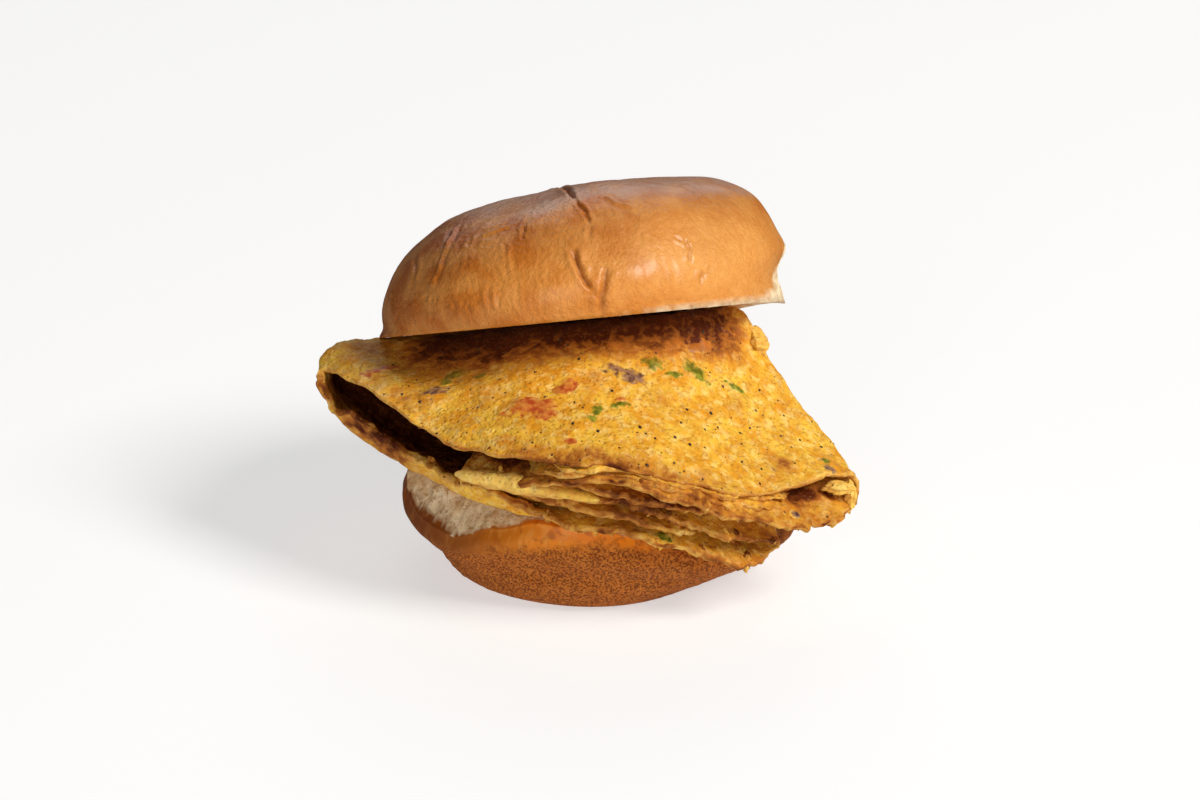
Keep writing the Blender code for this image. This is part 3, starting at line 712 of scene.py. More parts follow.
def heel_point(azimuth, depth):
    """A point of the heel, and how far past its crust's edge it lies, up and in, in millimetres."""
    degrees = math.degrees(azimuth) % 360
    crumb, crust = heel_heights(degrees)
    wobble = 1 + 0.010 * math.cos(2 * azimuth + 0.8) + 0.006 * math.cos(5 * azimuth)
    if depth <= HEEL_FACE_SHARE:
        inset = depth / HEEL_FACE_SHARE
        rim = heel_side(degrees, crust, crust) * wobble
        radius = rim * inset
        shoulder = smooth((inset - 0.86) / 0.14)
        height = HEEL_MIDDLE + (crumb - HEEL_MIDDLE) * smooth(radius / 44.0)
        height += (crust - height) * shoulder
        past = rim - radius + max(0.0, height - crust)
    elif depth <= HEEL_SIDE_SHARE:
        share = 1 - (depth - HEEL_FACE_SHARE) / (HEEL_SIDE_SHARE - HEEL_FACE_SHARE)
        height = crust * share
        radius = heel_side(degrees, height, crust) * wobble
        past = height - crust
    else:
        inset = 1 - (depth - HEEL_SIDE_SHARE) / (1 - HEEL_SIDE_SHARE)
        radius = heel_side(degrees, 0.0, crust) * inset * wobble
        height = 0.0
        past = -crust
    return Vector((radius * math.cos(azimuth), radius * math.sin(azimuth), height)), past


def sole_height(degrees, point):
    """Height where the porous bottom crust gives way to the smooth side crust."""
    return SOLE_EDGE + bearings(degrees, SOLE_RISE) + ripples(point, SOLE_WANDER)


def build_heel(settings):
    """The heel, out of a ball, with its crumb, sole and orange side marked."""
    bm = bmesh.new()
    crumb, sole, orange = marks(bm, HEEL_MARKS)
    for vert in add_globe(bm, HEEL_SEGMENTS, HEEL_RINGS):
        azimuth, polar = on_sphere(vert, HEEL_CROWDING)
        degrees = math.degrees(azimuth) % 360
        point, past = heel_point(azimuth, polar)
        out = Vector((point.x, point.y, 0)).normalized()
        ragged = 0.5 + 2.4 * angle_bell(degrees, HEEL_TEAR, 20)
        tall = Vector((point.x, point.y, 0.4 * point.z))
        line = ragged * ripples(tall, RIND_WANDER) + 0.1
        line += bearings(degrees, RIND_RISE)
        bread = smooth((past - line) / 0.6 + 0.5)
        vert[crumb] = bread
        vert[sole] = smooth((sole_height(degrees, point) - point.z) / SOLE_FADE + 0.5)
        vert[orange] = angle_bell(degrees, *ORANGE_SIDE)
        torn = 1 + 1.4 * angle_bell(degrees, HEEL_TEAR, 22)
        strands = ripple((point.x, point.y, 0.3 * point.z), 1.5, 49)
        fibres = strands * angle_bell(degrees, HEEL_TEAR, 26)
        raised = bread * torn * (open_crumb(point) + 0.4 * fibres) * smooth((past + 1.0) / 3.0)
        pits = settings.pore_depth * MILLIMETRES * vert[sole] * (1 - bread)
        pitted = pits * ripples(point, SOLE_PITS)
        skin = 0.22 * ripple(point, 5.5, 57) * (1 - bread) * smooth(point.z / 4.0)
        flat = smooth(point.z / 1.2)
        point += out * ((pitted + skin) * flat + 0.6 * raised)
        point.z += raised
        vert.co = point
    return bm


# The omelette

def fan_share(point):
    """How far across the fan a point on its edge lies: 0 is the left side and 1 the right."""
    angle = math.atan2(point.y - FAN_APEX.y, point.x - FAN_APEX.x) % (2 * math.pi)
    return (angle - FAN_LEFT) / (FAN_RIGHT - FAN_LEFT)


def top_height(x, y, across, run, thickness):
    """Middle of the top layer, run millimetres in from the fan's edge."""
    left = 1 - smooth(across * 3.2)
    right = smooth((across - 0.55) / 0.45)
    slope = 0.36 - 0.22 * left
    curve = 0.0017 * (1 - left) + 0.0118 * right
    start = 49.5 + 6.6 * left - 14.5 * right
    ramp = start + slope * run + curve * run * run + 0.6 * ripple((x, y, 0), 16.0, 4)
    roof = crown_base(x, y) - CLEARANCE - thickness / 2
    return soft_min(ramp, roof, 3.0)


def bottom_height(x, y, thickness):
    """Middle of the bottom layer, which lies on the heel and droops past its right front rim."""
    angle = math.degrees(math.atan2(y, x))
    outside = max(0.0, math.hypot(x, y) - 49.5)
    droop = angle_bell(angle, 308, 34) * outside * outside / (outside + 5.0) * 0.8
    return heel_face(x, y) + CLEARANCE + thickness / 2 - droop


def stack_height(x, y, across, level, run, thickness):
    """Height of a layer in the stack, from the bottom one at level 0 to the top one at 1."""
    low = bottom_height(x, y, thickness)
    return low + (top_height(x, y, across, run, thickness) - low) * level


def bow(across, station):
    """Plan offset that rounds the fan's straight sides."""
    left = LEFT_BOW * (1 - smooth(across * 3.4)) * math.sin(math.pi * station**2.2)
    right = RIGHT_BOW * smooth((across - 0.6) / 0.4) * math.sin(math.pi * station)
    return Vector((-0.70, 0.71)) * left + Vector((0.82, 0.57)) * right


def edge_wander(edge, ragged):
    """How far the torn edge stands out or in, in millimetres, over the solid's own wander."""
    bites = max(0.0, ripple(edge, 4.6, 61) - 0.18)
    torn = ripples(edge, EDGE_TEARS) - 4.2 * bites
    return 0.7 * ripple(edge, 12.0, 60) + ragged * torn


class SheetRow:
    """One place round EDGE, with what the sheet's points on the way in from it share."""

    def __init__(self, values, thickness):
        self.share, self.level, self.swell, self.edge, self.ragged = values
        self.across = fan_share(self.edge)
        self.rim = self.edge.to_2d()
        self.away = (self.rim - FAN_APEX).normalized()
        self.sideways = Vector((-self.away.y, self.away.x)) * (1 if self.across > 0.5 else -1)
        self.tail = FAN_APEX + self.away * TAIL_RADIUS
        self.length = (self.rim - self.tail).length
        self.wander = edge_wander(self.edge, self.ragged)
        self.curl = 0.7 * ripple(self.edge, 8.0, 64) + 0.8 * self.ragged * ripple(self.edge, 2.8, 65)
        self.thickness = thickness
        rim_height = stack_height(self.rim.x, self.rim.y, self.across, self.level, 0.0, thickness)
        self.off = self.edge.z - rim_height
        self.lip = smooth((0.5 - self.level) / 0.3) * smooth((-6.0 - self.edge.x) / 20.0)

    def point(self, station):
        """A point of the folded sheet's middle, station from 0 at the tail to 1 at the edge."""
        run = self.length * (1 - station)
        plan = self.tail.lerp(self.rim, station) + bow(self.across, station)
        plan += self.sideways * (self.swell * smooth(6 * (1 - station)) * (0.3 + 0.7 * station))
        plan += self.away * (RAGGED * ripple(self.edge, 7.0, 6) * station**8)
        plan += self.away * (self.wander * station**24)
        height = stack_height(plan.x, plan.y, self.across, self.level, run, self.thickness)
        height += self.off * station**4 + self.curl * station**14
        corner = bell((plan - CORNER_MIDDLE).length, 0.0, CORNER_SIZE)
        height += CORNER_RISE * corner * smooth((self.level - 0.55) / 0.4) * smooth(run / CORNER_FADE)
        height += LIP_RISE * self.lip * smooth(1 - run / LIP_RUN)
        return Vector((plan.x, plan.y, height))


def edge_values(at):
    """The values of EDGE at one place round it, on a smooth curve through its rows."""
    return tuple(through([row[k] for row in EDGE], at) for k in range(5))


def sheet_profile(start, count):
    """Rows from the start along the sheet's inner side, round its cut edge and back to the start.

    Each has a station and the share of the half thickness that it lies off the middle, and out."""
    stations = [start + (1 - start) * (1 - (1 - i / count) ** 1.35) for i in range(count)]
    inner = [(station, -1.0, 0.0) for station in stations]
    turns = [math.pi * (k / CUT_ROWS - 0.5) for k in range(CUT_ROWS + 1)]
    cut = [(1.0, math.sin(turn), math.cos(turn)) for turn in turns]
    outer = [(station, 1.0, 0.0) for station in reversed(stations)]
    return inner + cut + outer


def build_sheet(thickness):
    """The folded sheet of egg, its two sides meeting at the tail inside the lump."""
    places = [len(EDGE) * i / SHEET_SAMPLES for i in range(SHEET_SAMPLES)]
    rows = [SheetRow(edge_values(at), thickness) for at in places]
    bm = bmesh.new()
    add_sheet(bm, rows + rows[:1], sheet_profile(0.0, SHEET_STATIONS), True)
    bmesh.ops.remove_doubles(bm, verts=bm.verts, dist=0.004)
    return bm


def add_sheet(bm, rows, profile, closed):
    """A sheet of egg with a rounded, ragged edge, one cross section for each row."""
    cut, toast = marks(bm, EGG_MARKS)
    thickness = rows[0].thickness
    stations = sorted(set(row[0] for row in profile))
    middles = np.array([[row.point(station) for station in stations] for row in rows])
    around = np.gradient(middles, axis=0)
    if closed:
        around[0] = around[-1] = middles[1] - middles[-2]
    normals = np.cross(around, np.gradient(middles, axis=1))
    normals /= np.linalg.norm(normals, axis=2, keepdims=True) + 1e-9
    index = {station: j for j, station in enumerate(stations)}
    last = len(rows) - 1
    made = bmesh.ops.create_grid(bm, x_segments=last, y_segments=len(profile) - 1, size=0.5)["verts"]
    for vert in made:
        i = round((vert.co.x + 0.5) * last)
        station, side, out = profile[round((vert.co.y + 0.5) * (len(profile) - 1))]
        j = index[station]
        row = rows[i]
        middle = Vector(middles[i, j])
        normal = Vector(normals[i, j])
        half = thickness / 2 * row.share * (1 - TAIL_THINNING * (1 - smooth(4 * station)))
        half *= 1 + 0.30 * ripple(middle, 5.0, 66) + 0.22 * ripple(middle, 1.8, 67)
        thinned = 0.35 + 0.25 * smooth((row.level - 0.8) / 0.15) * (1 - smooth((middle.x - 10) / 20))
        half *= smooth((station - stations[0]) * 12) * (1 - thinned * smooth((station - 0.92) / 0.08))
        away = Vector((row.away.x, row.away.y, 0))
        point = middle + normal * (half * side) + away * (half * out * 0.9)
        near = smooth(1 - row.length * (1 - station) / 7.0)
        relief = egg_relief(point, near * row.ragged, abs(out) > 0.02)
        relief *= smooth((station - stations[0]) * 6) * min(1.0, row.share)
        if out > 0.02:
            point += (away * out + normal * side).normalized() * relief
        else:
            point += normal * (side * relief)
        vert[cut] = smooth(1.6 * out)
        vert[toast] = toasting(point, row, side, out, row.length * (1 - station))
        vert.co = point


def rim_line(low, high):
    """The rows of EDGE along one layer's rim that its leaves follow, in the order of x."""
    return sorted(EDGE[low:high], key=lambda row: row[3].x)


def along_rim(line, x):
    """The values of a rim at a place along X."""
    for a, b in zip(line, line[1:]):
        if x <= b[3].x or b is line[-1]:
            f = (x - a[3].x) / (b[3].x - a[3].x)
            return tuple(p + (q - p) * f for p, q in zip(a, b))
    raise ValueError(x)


def build_strata(thickness):
    """Thin torn leaves of egg that show between the folded layers at the front."""
    bm = bmesh.new()
    lines = {name: rim_line(low, high) for name, (low, high) in RIM_ROWS.items()}
    for n, (upper, lower, share, x0, x1, recess, heft) in enumerate(STRATA):
        rows = []
        for i in range(STRATA_SAMPLES + 1):
            s = i / STRATA_SAMPLES
            x = x0 + (x1 - x0) * s
            a = along_rim(lines[upper], x)
            b = along_rim(lines[lower], x)
            _, level, swell, edge, _ = (q + (p - q) * share for p, q in zip(a, b))
            end = 1 - smooth(7 * min(s, 1 - s))
            wander = ripples(edge, ((11.0, 80 + n, 2.2), (3.6, 90 + n, 0.7)))
            inset = recess + 7 * end + wander
            edge = edge + Vector((0, 0, 1.2 * ripple(edge, 14.0, 84 + n)))
            ragged = 0.3 + 0.6 * smooth((x - 4.0) / 26.0)
            away = (edge.to_2d() - FAN_APEX).normalized()
            edge = edge - Vector((away.x, away.y, 0)) * inset
            heavy = heft * (1 + 0.5 * ripple(edge, 8.0, 86 + n)) * (1 - 0.98 * end)
            rows.append(SheetRow((heavy, level, 0.0, edge, ragged), thickness))
        add_sheet(bm, rows, sheet_profile(0.78, 14), False)
    bmesh.ops.remove_doubles(bm, verts=bm.verts, dist=0.02)
    return bm


def build_flap():
    """The bright torn flap at the left end of the inner folds, and the pale lobes at the right."""
    bm = bmesh.new()
    cut, toast = marks(bm, EGG_MARKS)
    for middle, size in LOBES:
        for vert in add_ball(bm, 4):
            bump = 1 + 0.45 * ripple(vert.co, 0.8, 81) + 0.2 * ripple(vert.co, 0.35, 82)
            vert.co = Vector(middle) + vert.co * bump * Vector(size)
            vert[cut] = 1.0
    start, end = (Vector(point) for point in FLAP_ENDS)
    run = end - start
    for vert in add_globe(bm, 96, 48):
        t = min(1.0, max(0.0, 0.5 + 0.5 * vert.co.x))
        girth = 1 - 0.3 * smooth((t - 0.3) / 0.7)
        middle = start + run * t + Vector((0, 0, 0.9 * math.sin(2.6 * t)))
        spread_out = math.hypot(vert.co.y, vert.co.z)
        ring = Vector((0.0, vert.co.y, vert.co.z)) / max(spread_out, 1e-6) if spread_out else Vector()
        size = max(0.0, math.sin(math.pi * t)) ** 0.45 * (0.35 + 0.65 * girth)
        point = middle + Vector((0.4 * ring.y, ring.y * FLAP_GIRTH[0], ring.z * FLAP_GIRTH[1])) * size
        point += ring * (egg_relief(point, 0.0, False) + 0.7 * ripple(point, 2.6, 79)) * size
        vert[cut] = 1.7 - 1.2 * t
        vert[toast] = 0.3 * smooth(-ring.z * 2 - 0.4)
        vert.co = point
    return bm


def build_shreds():
    """Small frayed shreds of egg that cling to the torn rims."""
    bm = bmesh.new()
    cut, toast = marks(bm, EGG_MARKS)
    draw = random.Random(SHRED_SEED)
    for n in range(SHRED_COUNT):
        low, high = draw.choices(SHRED_PLACES, weights=SHRED_WEIGHTS)[0]
        at = draw.uniform(low, high)
        row = SheetRow(edge_values(at), SHRED_SHEET)
        base = row.point(1.0)
        away = Vector((row.away.x, row.away.y, 0))
        base += away * draw.uniform(-1.3, 0.1) + Vector((0, 0, draw.uniform(-1.2, 1.0)))
        turn = Euler([draw.uniform(0, 2 * math.pi) for _ in range(3)]).to_matrix()
        size = 0.35 + 0.95 * draw.random() ** 2
        stretch = Vector((draw.uniform(0.9, 1.9), 1.0, draw.uniform(0.35, 0.7))) * size
        tone = draw.uniform(0.1, 1.0)
        for vert in add_ball(bm, 3):
            bump = 1 + 0.5 * ripple(vert.co, 0.8, 300 + n) + 0.3 * ripple(vert.co, 0.35, 301 + n)
            vert.co = base + turn @ (vert.co * bump * stretch)
            vert[cut] = 0.6
            vert[toast] = tone
    return bm


def egg_relief(point, near, cut):
    """Lumps and bubbles of the fried egg's skin, in millimetres."""
    soft = ripples(point, EGG_LUMPS)
    grain = 0.10 * ripple(point, 1.3, 73)
    if cut:
        strata = ripple((point.x, point.y, 4.0 * point.z), 3.2, 74)
        return 0.25 * soft + grain + 0.45 * strata
    frayed = 0.35 * near * ripple((point.x, point.y, 2.5 * point.z), 2.0, 75)
    return soft + grain + frayed


def toasting(point, row, side, out, run):
    """How browned, and how darkened by painted shade, the egg is at a place run millimetres in from the
    edge, from 0 to 1.
    """
    amount = swells(point, TOASTED_AND_SHADED) + 0.4 * max(0.0, ripple(point, 9.0, 76))
    lower = 1 - smooth((row.level - 0.72) / 0.2)
    low = 1 - smooth((row.level - 0.2) / 0.2)
    # The inner side is browned, and deep in the folds, past where the light reaches in from the rim, it
    # is painted darker as shade.
    if side < 0:
        open_side = 1 - smooth((row.level - 0.35) / 0.4)
        reach = 5.0 + 9.0 * open_side + 4.0 * ripple(point, 7.0, 69)
        lit = smooth(1.3 - run / reach)
        amount += (1 - lit) * smooth((2.0 - point.x) / 22.0) * (1 - smooth(out))
        amount += 0.12 * (1 - lit * open_side) + 0.10 * lower * (1 - low)
    # Painted shadow line under the top layer's rolled rim, partly a browned edge.
    rim_brown_and_shadow = smooth((row.level - 0.9) / 0.08) * smooth(1.1 - run / 7.0) * bell(point.x, -2.0, 36.0)
    amount += rim_brown_and_shadow * max(0.0, 0.52 + 0.55 * ripple(point, 7.0, 68))
    lip = row.lip * smooth(1.2 - run / 8.0) * (0.10 + 0.45 * smooth((-46.0 - point.x) / 12.0))
    amount += lip * (1 + 1.2 * ripple(point, 5.0, 48))
    fringe = max(0.0, ripples(point, FRINGE))
    amount += 0.8 * row.ragged * smooth(1.3 * out) * fringe * (0.5 + 0.5 * lower)
    amount += 0.16 * smooth(1.3 * out)
    amount += 0.16 * lower * (1 - low) * smooth(1 - run / 9.0)
    return min(1.3, amount)


def lump_reach(angle):
    """How far the lump at the fan's apex reaches on a bearing."""
    middle = (FAN_LEFT + FAN_RIGHT) / 2
    off = abs((angle - middle + math.pi) % (2 * math.pi) - math.pi)
    past = math.degrees(off - (FAN_RIGHT - FAN_LEFT) / 2)
    return LUMP_FRONT + (LUMP_BACK - LUMP_FRONT) * smooth(past / 34.0)


def build_lump(thickness):
    """The lump of egg at the fan's apex, with the folds of its layers showing at its back."""
    bm = bmesh.new()
    _, toast = marks(bm, EGG_MARKS)
    for vert in add_globe(bm, 160, 90):
        angle = math.atan2(vert.co.y, vert.co.x)
        reach = lump_reach(angle) * math.hypot(vert.co.x, vert.co.y) ** LUMP_FLATNESS
        folds = math.cos(4 * math.pi * vert.co.z) * smooth(math.hypot(vert.co.x, vert.co.y) * 2)
        reach += 0.9 * folds
        x = FAN_APEX.x + reach * math.cos(angle)
        y = FAN_APEX.y + reach * math.sin(angle)
        level = 0.5 + 0.5 * LUMP_SWELL * vert.co.z
        point = Vector((x, y, stack_height(x, y, 0.5, level, TAIL_RUN, thickness)))
        outward = Vector((math.cos(angle), math.sin(angle), 0.0))
        point += outward * egg_relief(point, 0.0, False)
        vert[toast] = 0.3 + 0.4 * max(0.0, ripple(point, 6.0, 77))
        vert.co = point
    return bm


def tree_of(piece):
    """A search tree of a finished piece's surface, in millimetres."""
    mesh = piece.data
    points = [vert.co * MILLIMETRES for vert in mesh.vertices]
    return BVHTree.FromPolygons(points, [tuple(face.vertices) for face in mesh.polygons])


def add_chunk(bm, tree, place, seed):
    """A flat piece of vegetable, pressed into the top of the egg, with an uneven outline."""
    film, toast = marks(bm, CHUNK_MARKS)
    x, y, length, width, turn, *below = place
    top = tree.ray_cast(Vector((x, y, below[0] if below else SKYWARD)), DOWN)
    if top[0] is None:
        raise RuntimeError(f"no egg under {place}")
    normal = top[1]
    along = Euler((0, 0, math.radians(turn))).to_matrix() @ Vector((1, 0, 0))
    along = (along - normal * along.dot(normal)).normalized()
    across = normal.cross(along)
    for vert in add_ball(bm, 4):
        unit = vert.co.copy()
        bearing = Vector((unit.x, unit.y, 0)).normalized() if unit.xy.length > 1e-4 else Vector()
        outline = 1 + 0.30 * ripple(bearing, 0.9, seed) + 0.14 * ripple(bearing, 0.35, seed + 1)
        a = unit.x * outline * length / 2
        b = unit.y * outline * width / 2
        reach = 2.0 if below else 6.0
        start = top[0] + along * a + across * b + normal * reach
        hit = tree.ray_cast(start, -normal)
        base = hit[0] if hit[0] is not None and hit[3] < 2 * reach else start - normal * reach
        rough = 0.12 * ripple(base, 1.1, seed + 2)
        lift = 0.24 * abs(unit.z) ** 1.4 * (1 if unit.z > 0 else -1)
        vert[film] = unit.xy.length
        # Browning and painted shadow under the crown, as in the egg around the piece.
        vert[toast] = 0.85 * swells(base, TOASTED_AND_SHADED)
        vert.co = base + normal * (lift + rough * (unit.z > 0))


def add_speck(bm, centre, normal, size, seed):
    """One flake of ground pepper, half sunk in the egg."""
    turn = normal.to_track_quat("Z", "X").to_matrix()
    for vert in add_ball(bm, 1):
        stretch = Vector((1 + 0.4 * ripple(vert.co, 0.8, seed), 0.85, 0.55)) * (size / 2)
        vert.co = centre + turn @ (vert.co * stretch)


# Materials

def add_node(tree, kind, inputs=None, **settings):
    """Adds a node, sets it up, and feeds its inputs with values or with other nodes' sockets."""
    node = tree.nodes.new(kind)
    for name, value in settings.items():
        setattr(node, name, value)
    for key, value in (inputs or {}).items():
        if isinstance(value, bpy.types.NodeSocket):
            tree.links.new(value, node.inputs[key])
        else:
            node.inputs[key].default_value = value
    return node


def rgba(colour):
    """A colour with its alpha of 1."""
    return (colour[0], colour[1], colour[2], 1.0)


def mix(tree, share, first, second):
    """One colour mixed into another."""
    colours = [c if isinstance(c, bpy.types.NodeSocket) else rgba(c) for c in (first, second)]
    inputs = {0: share, 6: colours[0], 7: colours[1]}
    return add_node(tree, "ShaderNodeMix", inputs, data_type="RGBA").outputs[2]


def between(tree, share, first, second):
    """A number a share of the way from one to another."""
    return add_node(tree, "ShaderNodeMix", {0: share, 2: first, 3: second}).outputs[0]


def maths(tree, operation, first, second):
    """A new number out of two."""
    return add_node(tree, "ShaderNodeMath", {0: first, 1: second}, operation=operation).outputs[0]


def times(tree, first, second):
    """The product of two numbers."""
    return maths(tree, "MULTIPLY", first, second)


def stain(tree, mask, share, colour, tone):
    """A colour with up to a share of another in it, where a mask lies."""
    return mix(tree, times(tree, mask, share), colour, tone)


def spread(tree, value, low, high, to_low=0.0, to_high=1.0):
    """A number moved from one range to another, with gentle ends."""
    inputs = {"Value": value, "From Min": low, "From Max": high, "To Min": to_low, "To Max": to_high}
    return add_node(tree, "ShaderNodeMapRange", inputs, interpolation_type="SMOOTHSTEP").outputs[0]


def attributes(tree, names):
    """The numbers kept at the mesh's points under some names."""
    return [add_node(tree, "ShaderNodeAttribute", attribute_name=name).outputs["Fac"] for name in names]


def placed(tree, build, **inputs):
    """The outputs of an effect that materials share, whose node group is built at its first use."""
    group = bpy.data.node_groups.get(build.__name__) or build(build.__name__)
    return add_node(tree, "ShaderNodeGroup", inputs, node_tree=group).outputs


def blotches(tree, place, size, low, high, detail):
    """A mask of soft blotches of a size in millimetres, between two levels of their noise."""
    return placed(tree, blotch_group, Place=place, Size=size, Low=low, High=high, Detail=detail)[0]


def pores(tree, place, size, width):
    """A mask of scattered pits of a size in millimetres."""
    return placed(tree, pore_group, Place=place, Size=size, Width=width)[0]


def new_group(name, numbers, colours, results):
    """A shader node group that takes a place, numbers and colours, its inputs and its last node."""
    tree = bpy.data.node_groups.new(name, "ShaderNodeTree")
    add_socket = tree.interface.new_socket
    add_socket("Place", in_out="INPUT", socket_type="NodeSocketVector")
    for label, default in numbers.items():
        socket = add_socket(label, in_out="INPUT", socket_type="NodeSocketFloat")
        socket.default_value = default
    for label in colours:
        add_socket(label, in_out="INPUT", socket_type="NodeSocketColor")
    for label in results:
        kind = "NodeSocketColor" if label == "Colour" else "NodeSocketFloat"
        add_socket(label, in_out="OUTPUT", socket_type=kind)
    return tree, tree.nodes.new("NodeGroupInput").outputs, tree.nodes.new("NodeGroupOutput")


def put_out(tree, last, **results):
    """Feeds the results of a shader node group to its last node."""
    for label, socket in results.items():
        tree.links.new(socket, last.inputs[label])


def blotch_group(name):
    """Soft blotches of a size in millimetres, as a mask between two levels of the noise."""
    numbers = {"Size": 1.0, "Low": 0.4, "High": 0.6, "Detail": 2.0}
    tree, given, last = new_group(name, numbers, (), ["Mask"])
    scale = maths(tree, "DIVIDE", 1.0, given["Size"])
    inputs = {"Vector": given["Place"], "Scale": scale, "Detail": given["Detail"]}
    clouds = add_node(tree, "ShaderNodeTexNoise", inputs)
    put_out(tree, last, Mask=spread(tree, clouds.outputs["Fac"], given["Low"], given["High"]))
    return tree


def pore_group(name):
    """Small scattered pits of a size in millimetres, as a mask."""
    tree, given, last = new_group(name, {"Size": 1.0, "Width": 0.35}, (), ["Mask"])
    scale = maths(tree, "DIVIDE", 1.0, given["Size"])
    inputs = {"Vector": given["Place"], "Scale": scale, "Detail": 1.0}
    warp = add_node(tree, "ShaderNodeTexNoise", inputs).outputs["Color"]
    moved = add_node(tree, "ShaderNodeVectorMath", {0: warp, 1: given["Place"]}, operation="ADD")
    inputs = {"Vector": moved.outputs[0], "Scale": scale, "Randomness": 1.0}
    cells = add_node(tree, "ShaderNodeTexVoronoi", inputs)
    put_out(tree, last, Mask=spread(tree, cells.outputs["Distance"], given["Width"], PIT_FLOOR))
    return tree


def crumb_group(name):
    """Soft white crumb: its colour, and its height from 0 in a pore to 1."""
    tree, given, last = new_group(name, {}, ("Pale", "Shade"), ("Colour", "Height"))
    place, shade = given["Place"], given["Shade"]
    large = times(tree, pores(tree, place, *LARGE_PORES), 0.9)
    small = times(tree, pores(tree, place, *SMALL_PORES), 0.4)
    holes = maths(tree, "MAXIMUM", large, small)
    colour = stain(tree, blotches(tree, place, *CRUMB_CLOUDS), 0.65, given["Pale"], shade)
    colour = stain(tree, holes, 0.6, colour, shade)
    put_out(tree, last, Colour=colour, Height=maths(tree, "SUBTRACT", 1.0, holes))
    return tree


def egg_group(name):
    """Mottled yellow of fried egg, with paler curds and lacy brown spots."""
    tree, given, last = new_group(name, {}, EGG_TONES, ("Colour", "Curds"))
    place = given["Place"]
    curds = blotches(tree, place, *EGG_CURDS)
    lace = blotches(tree, place, *EGG_LACE)
    brown = blotches(tree, place, *EGG_BROWN)
    colour = mix(tree, blotches(tree, place, *EGG_CLOUDS), given["yolk"], given["yellow"])
    colour = stain(tree, curds, 0.75, colour, given["pale"])
    colour = stain(tree, lace, 0.5, colour, given["lace"])
    colour = stain(tree, brown, 0.5, colour, given["browned"])
    put_out(tree, last, Colour=colour, Curds=curds)
    return tree


def toast_group(name):
    """A colour browned by an amount from 0 to 1, in uneven patches; the amount also holds painted
    shade.
    """
    tones = ("Colour", "Scorched", "Toasted")
    tree, given, last = new_group(name, {"Amount": 0.0}, tones, ["Colour"])
    patch = blotches(tree, given["Place"], *TOAST_PATCHES)
    uneven = times(tree, given["Amount"], spread(tree, patch, 0.0, 1.0, *TOAST_SHARE))
    colour = mix(tree, spread(tree, uneven, 0.0, 0.7), given["Colour"], given["Scorched"])
    colour = mix(tree, spread(tree, uneven, 0.4, 1.15), colour, given["Toasted"])
    put_out(tree, last, Colour=colour)
    return tree


def egg_colour(tree, place, settings):
    """The mottled colour of the egg, and its curds."""
    tones = {tone: rgba(getattr(settings, tone)) for tone in EGG_TONES}
    return placed(tree, egg_group, Place=place, **tones)


def crumb_colour(tree, place, settings):
    """The colour of the crumb, and its height."""
    tones = {"Pale": rgba(settings.crumb), "Shade": rgba(settings.crumb_shade)}
    return placed(tree, crumb_group, Place=place, **tones)


def toasted(tree, place, amount, colour, settings):
    """A colour of the egg, browned and darkened by painted shade."""
    tones = {"Scorched": rgba(settings.scorched), "Toasted": rgba(settings.toasted)}
    return placed(tree, toast_group, Place=place, Amount=amount, Colour=colour, **tones)[0]


def new_material(name, specular):
    """A material with its node tree, shader and the place on the piece in millimetres."""
    material = bpy.data.materials.new(name)
    material.use_nodes = True
    tree = material.node_tree
    shader = tree.nodes["Principled BSDF"].inputs
    shader["Specular IOR Level"].default_value = specular
    inputs = {0: add_node(tree, "ShaderNodeTexCoord").outputs["Object"], "Scale": MILLIMETRES}
    place = add_node(tree, "ShaderNodeVectorMath", inputs, operation="SCALE")
    return material, tree, shader, place.outputs[0]


def set_bump(tree, shader, height, depth, strength):
    """Relief too fine for the mesh: a height from 0 to 1 that stands for a depth in metres."""
    inputs = {"Height": height, "Distance": depth, "Strength": strength}
    tree.links.new(add_node(tree, "ShaderNodeBump", inputs).outputs["Normal"], shader["Normal"])


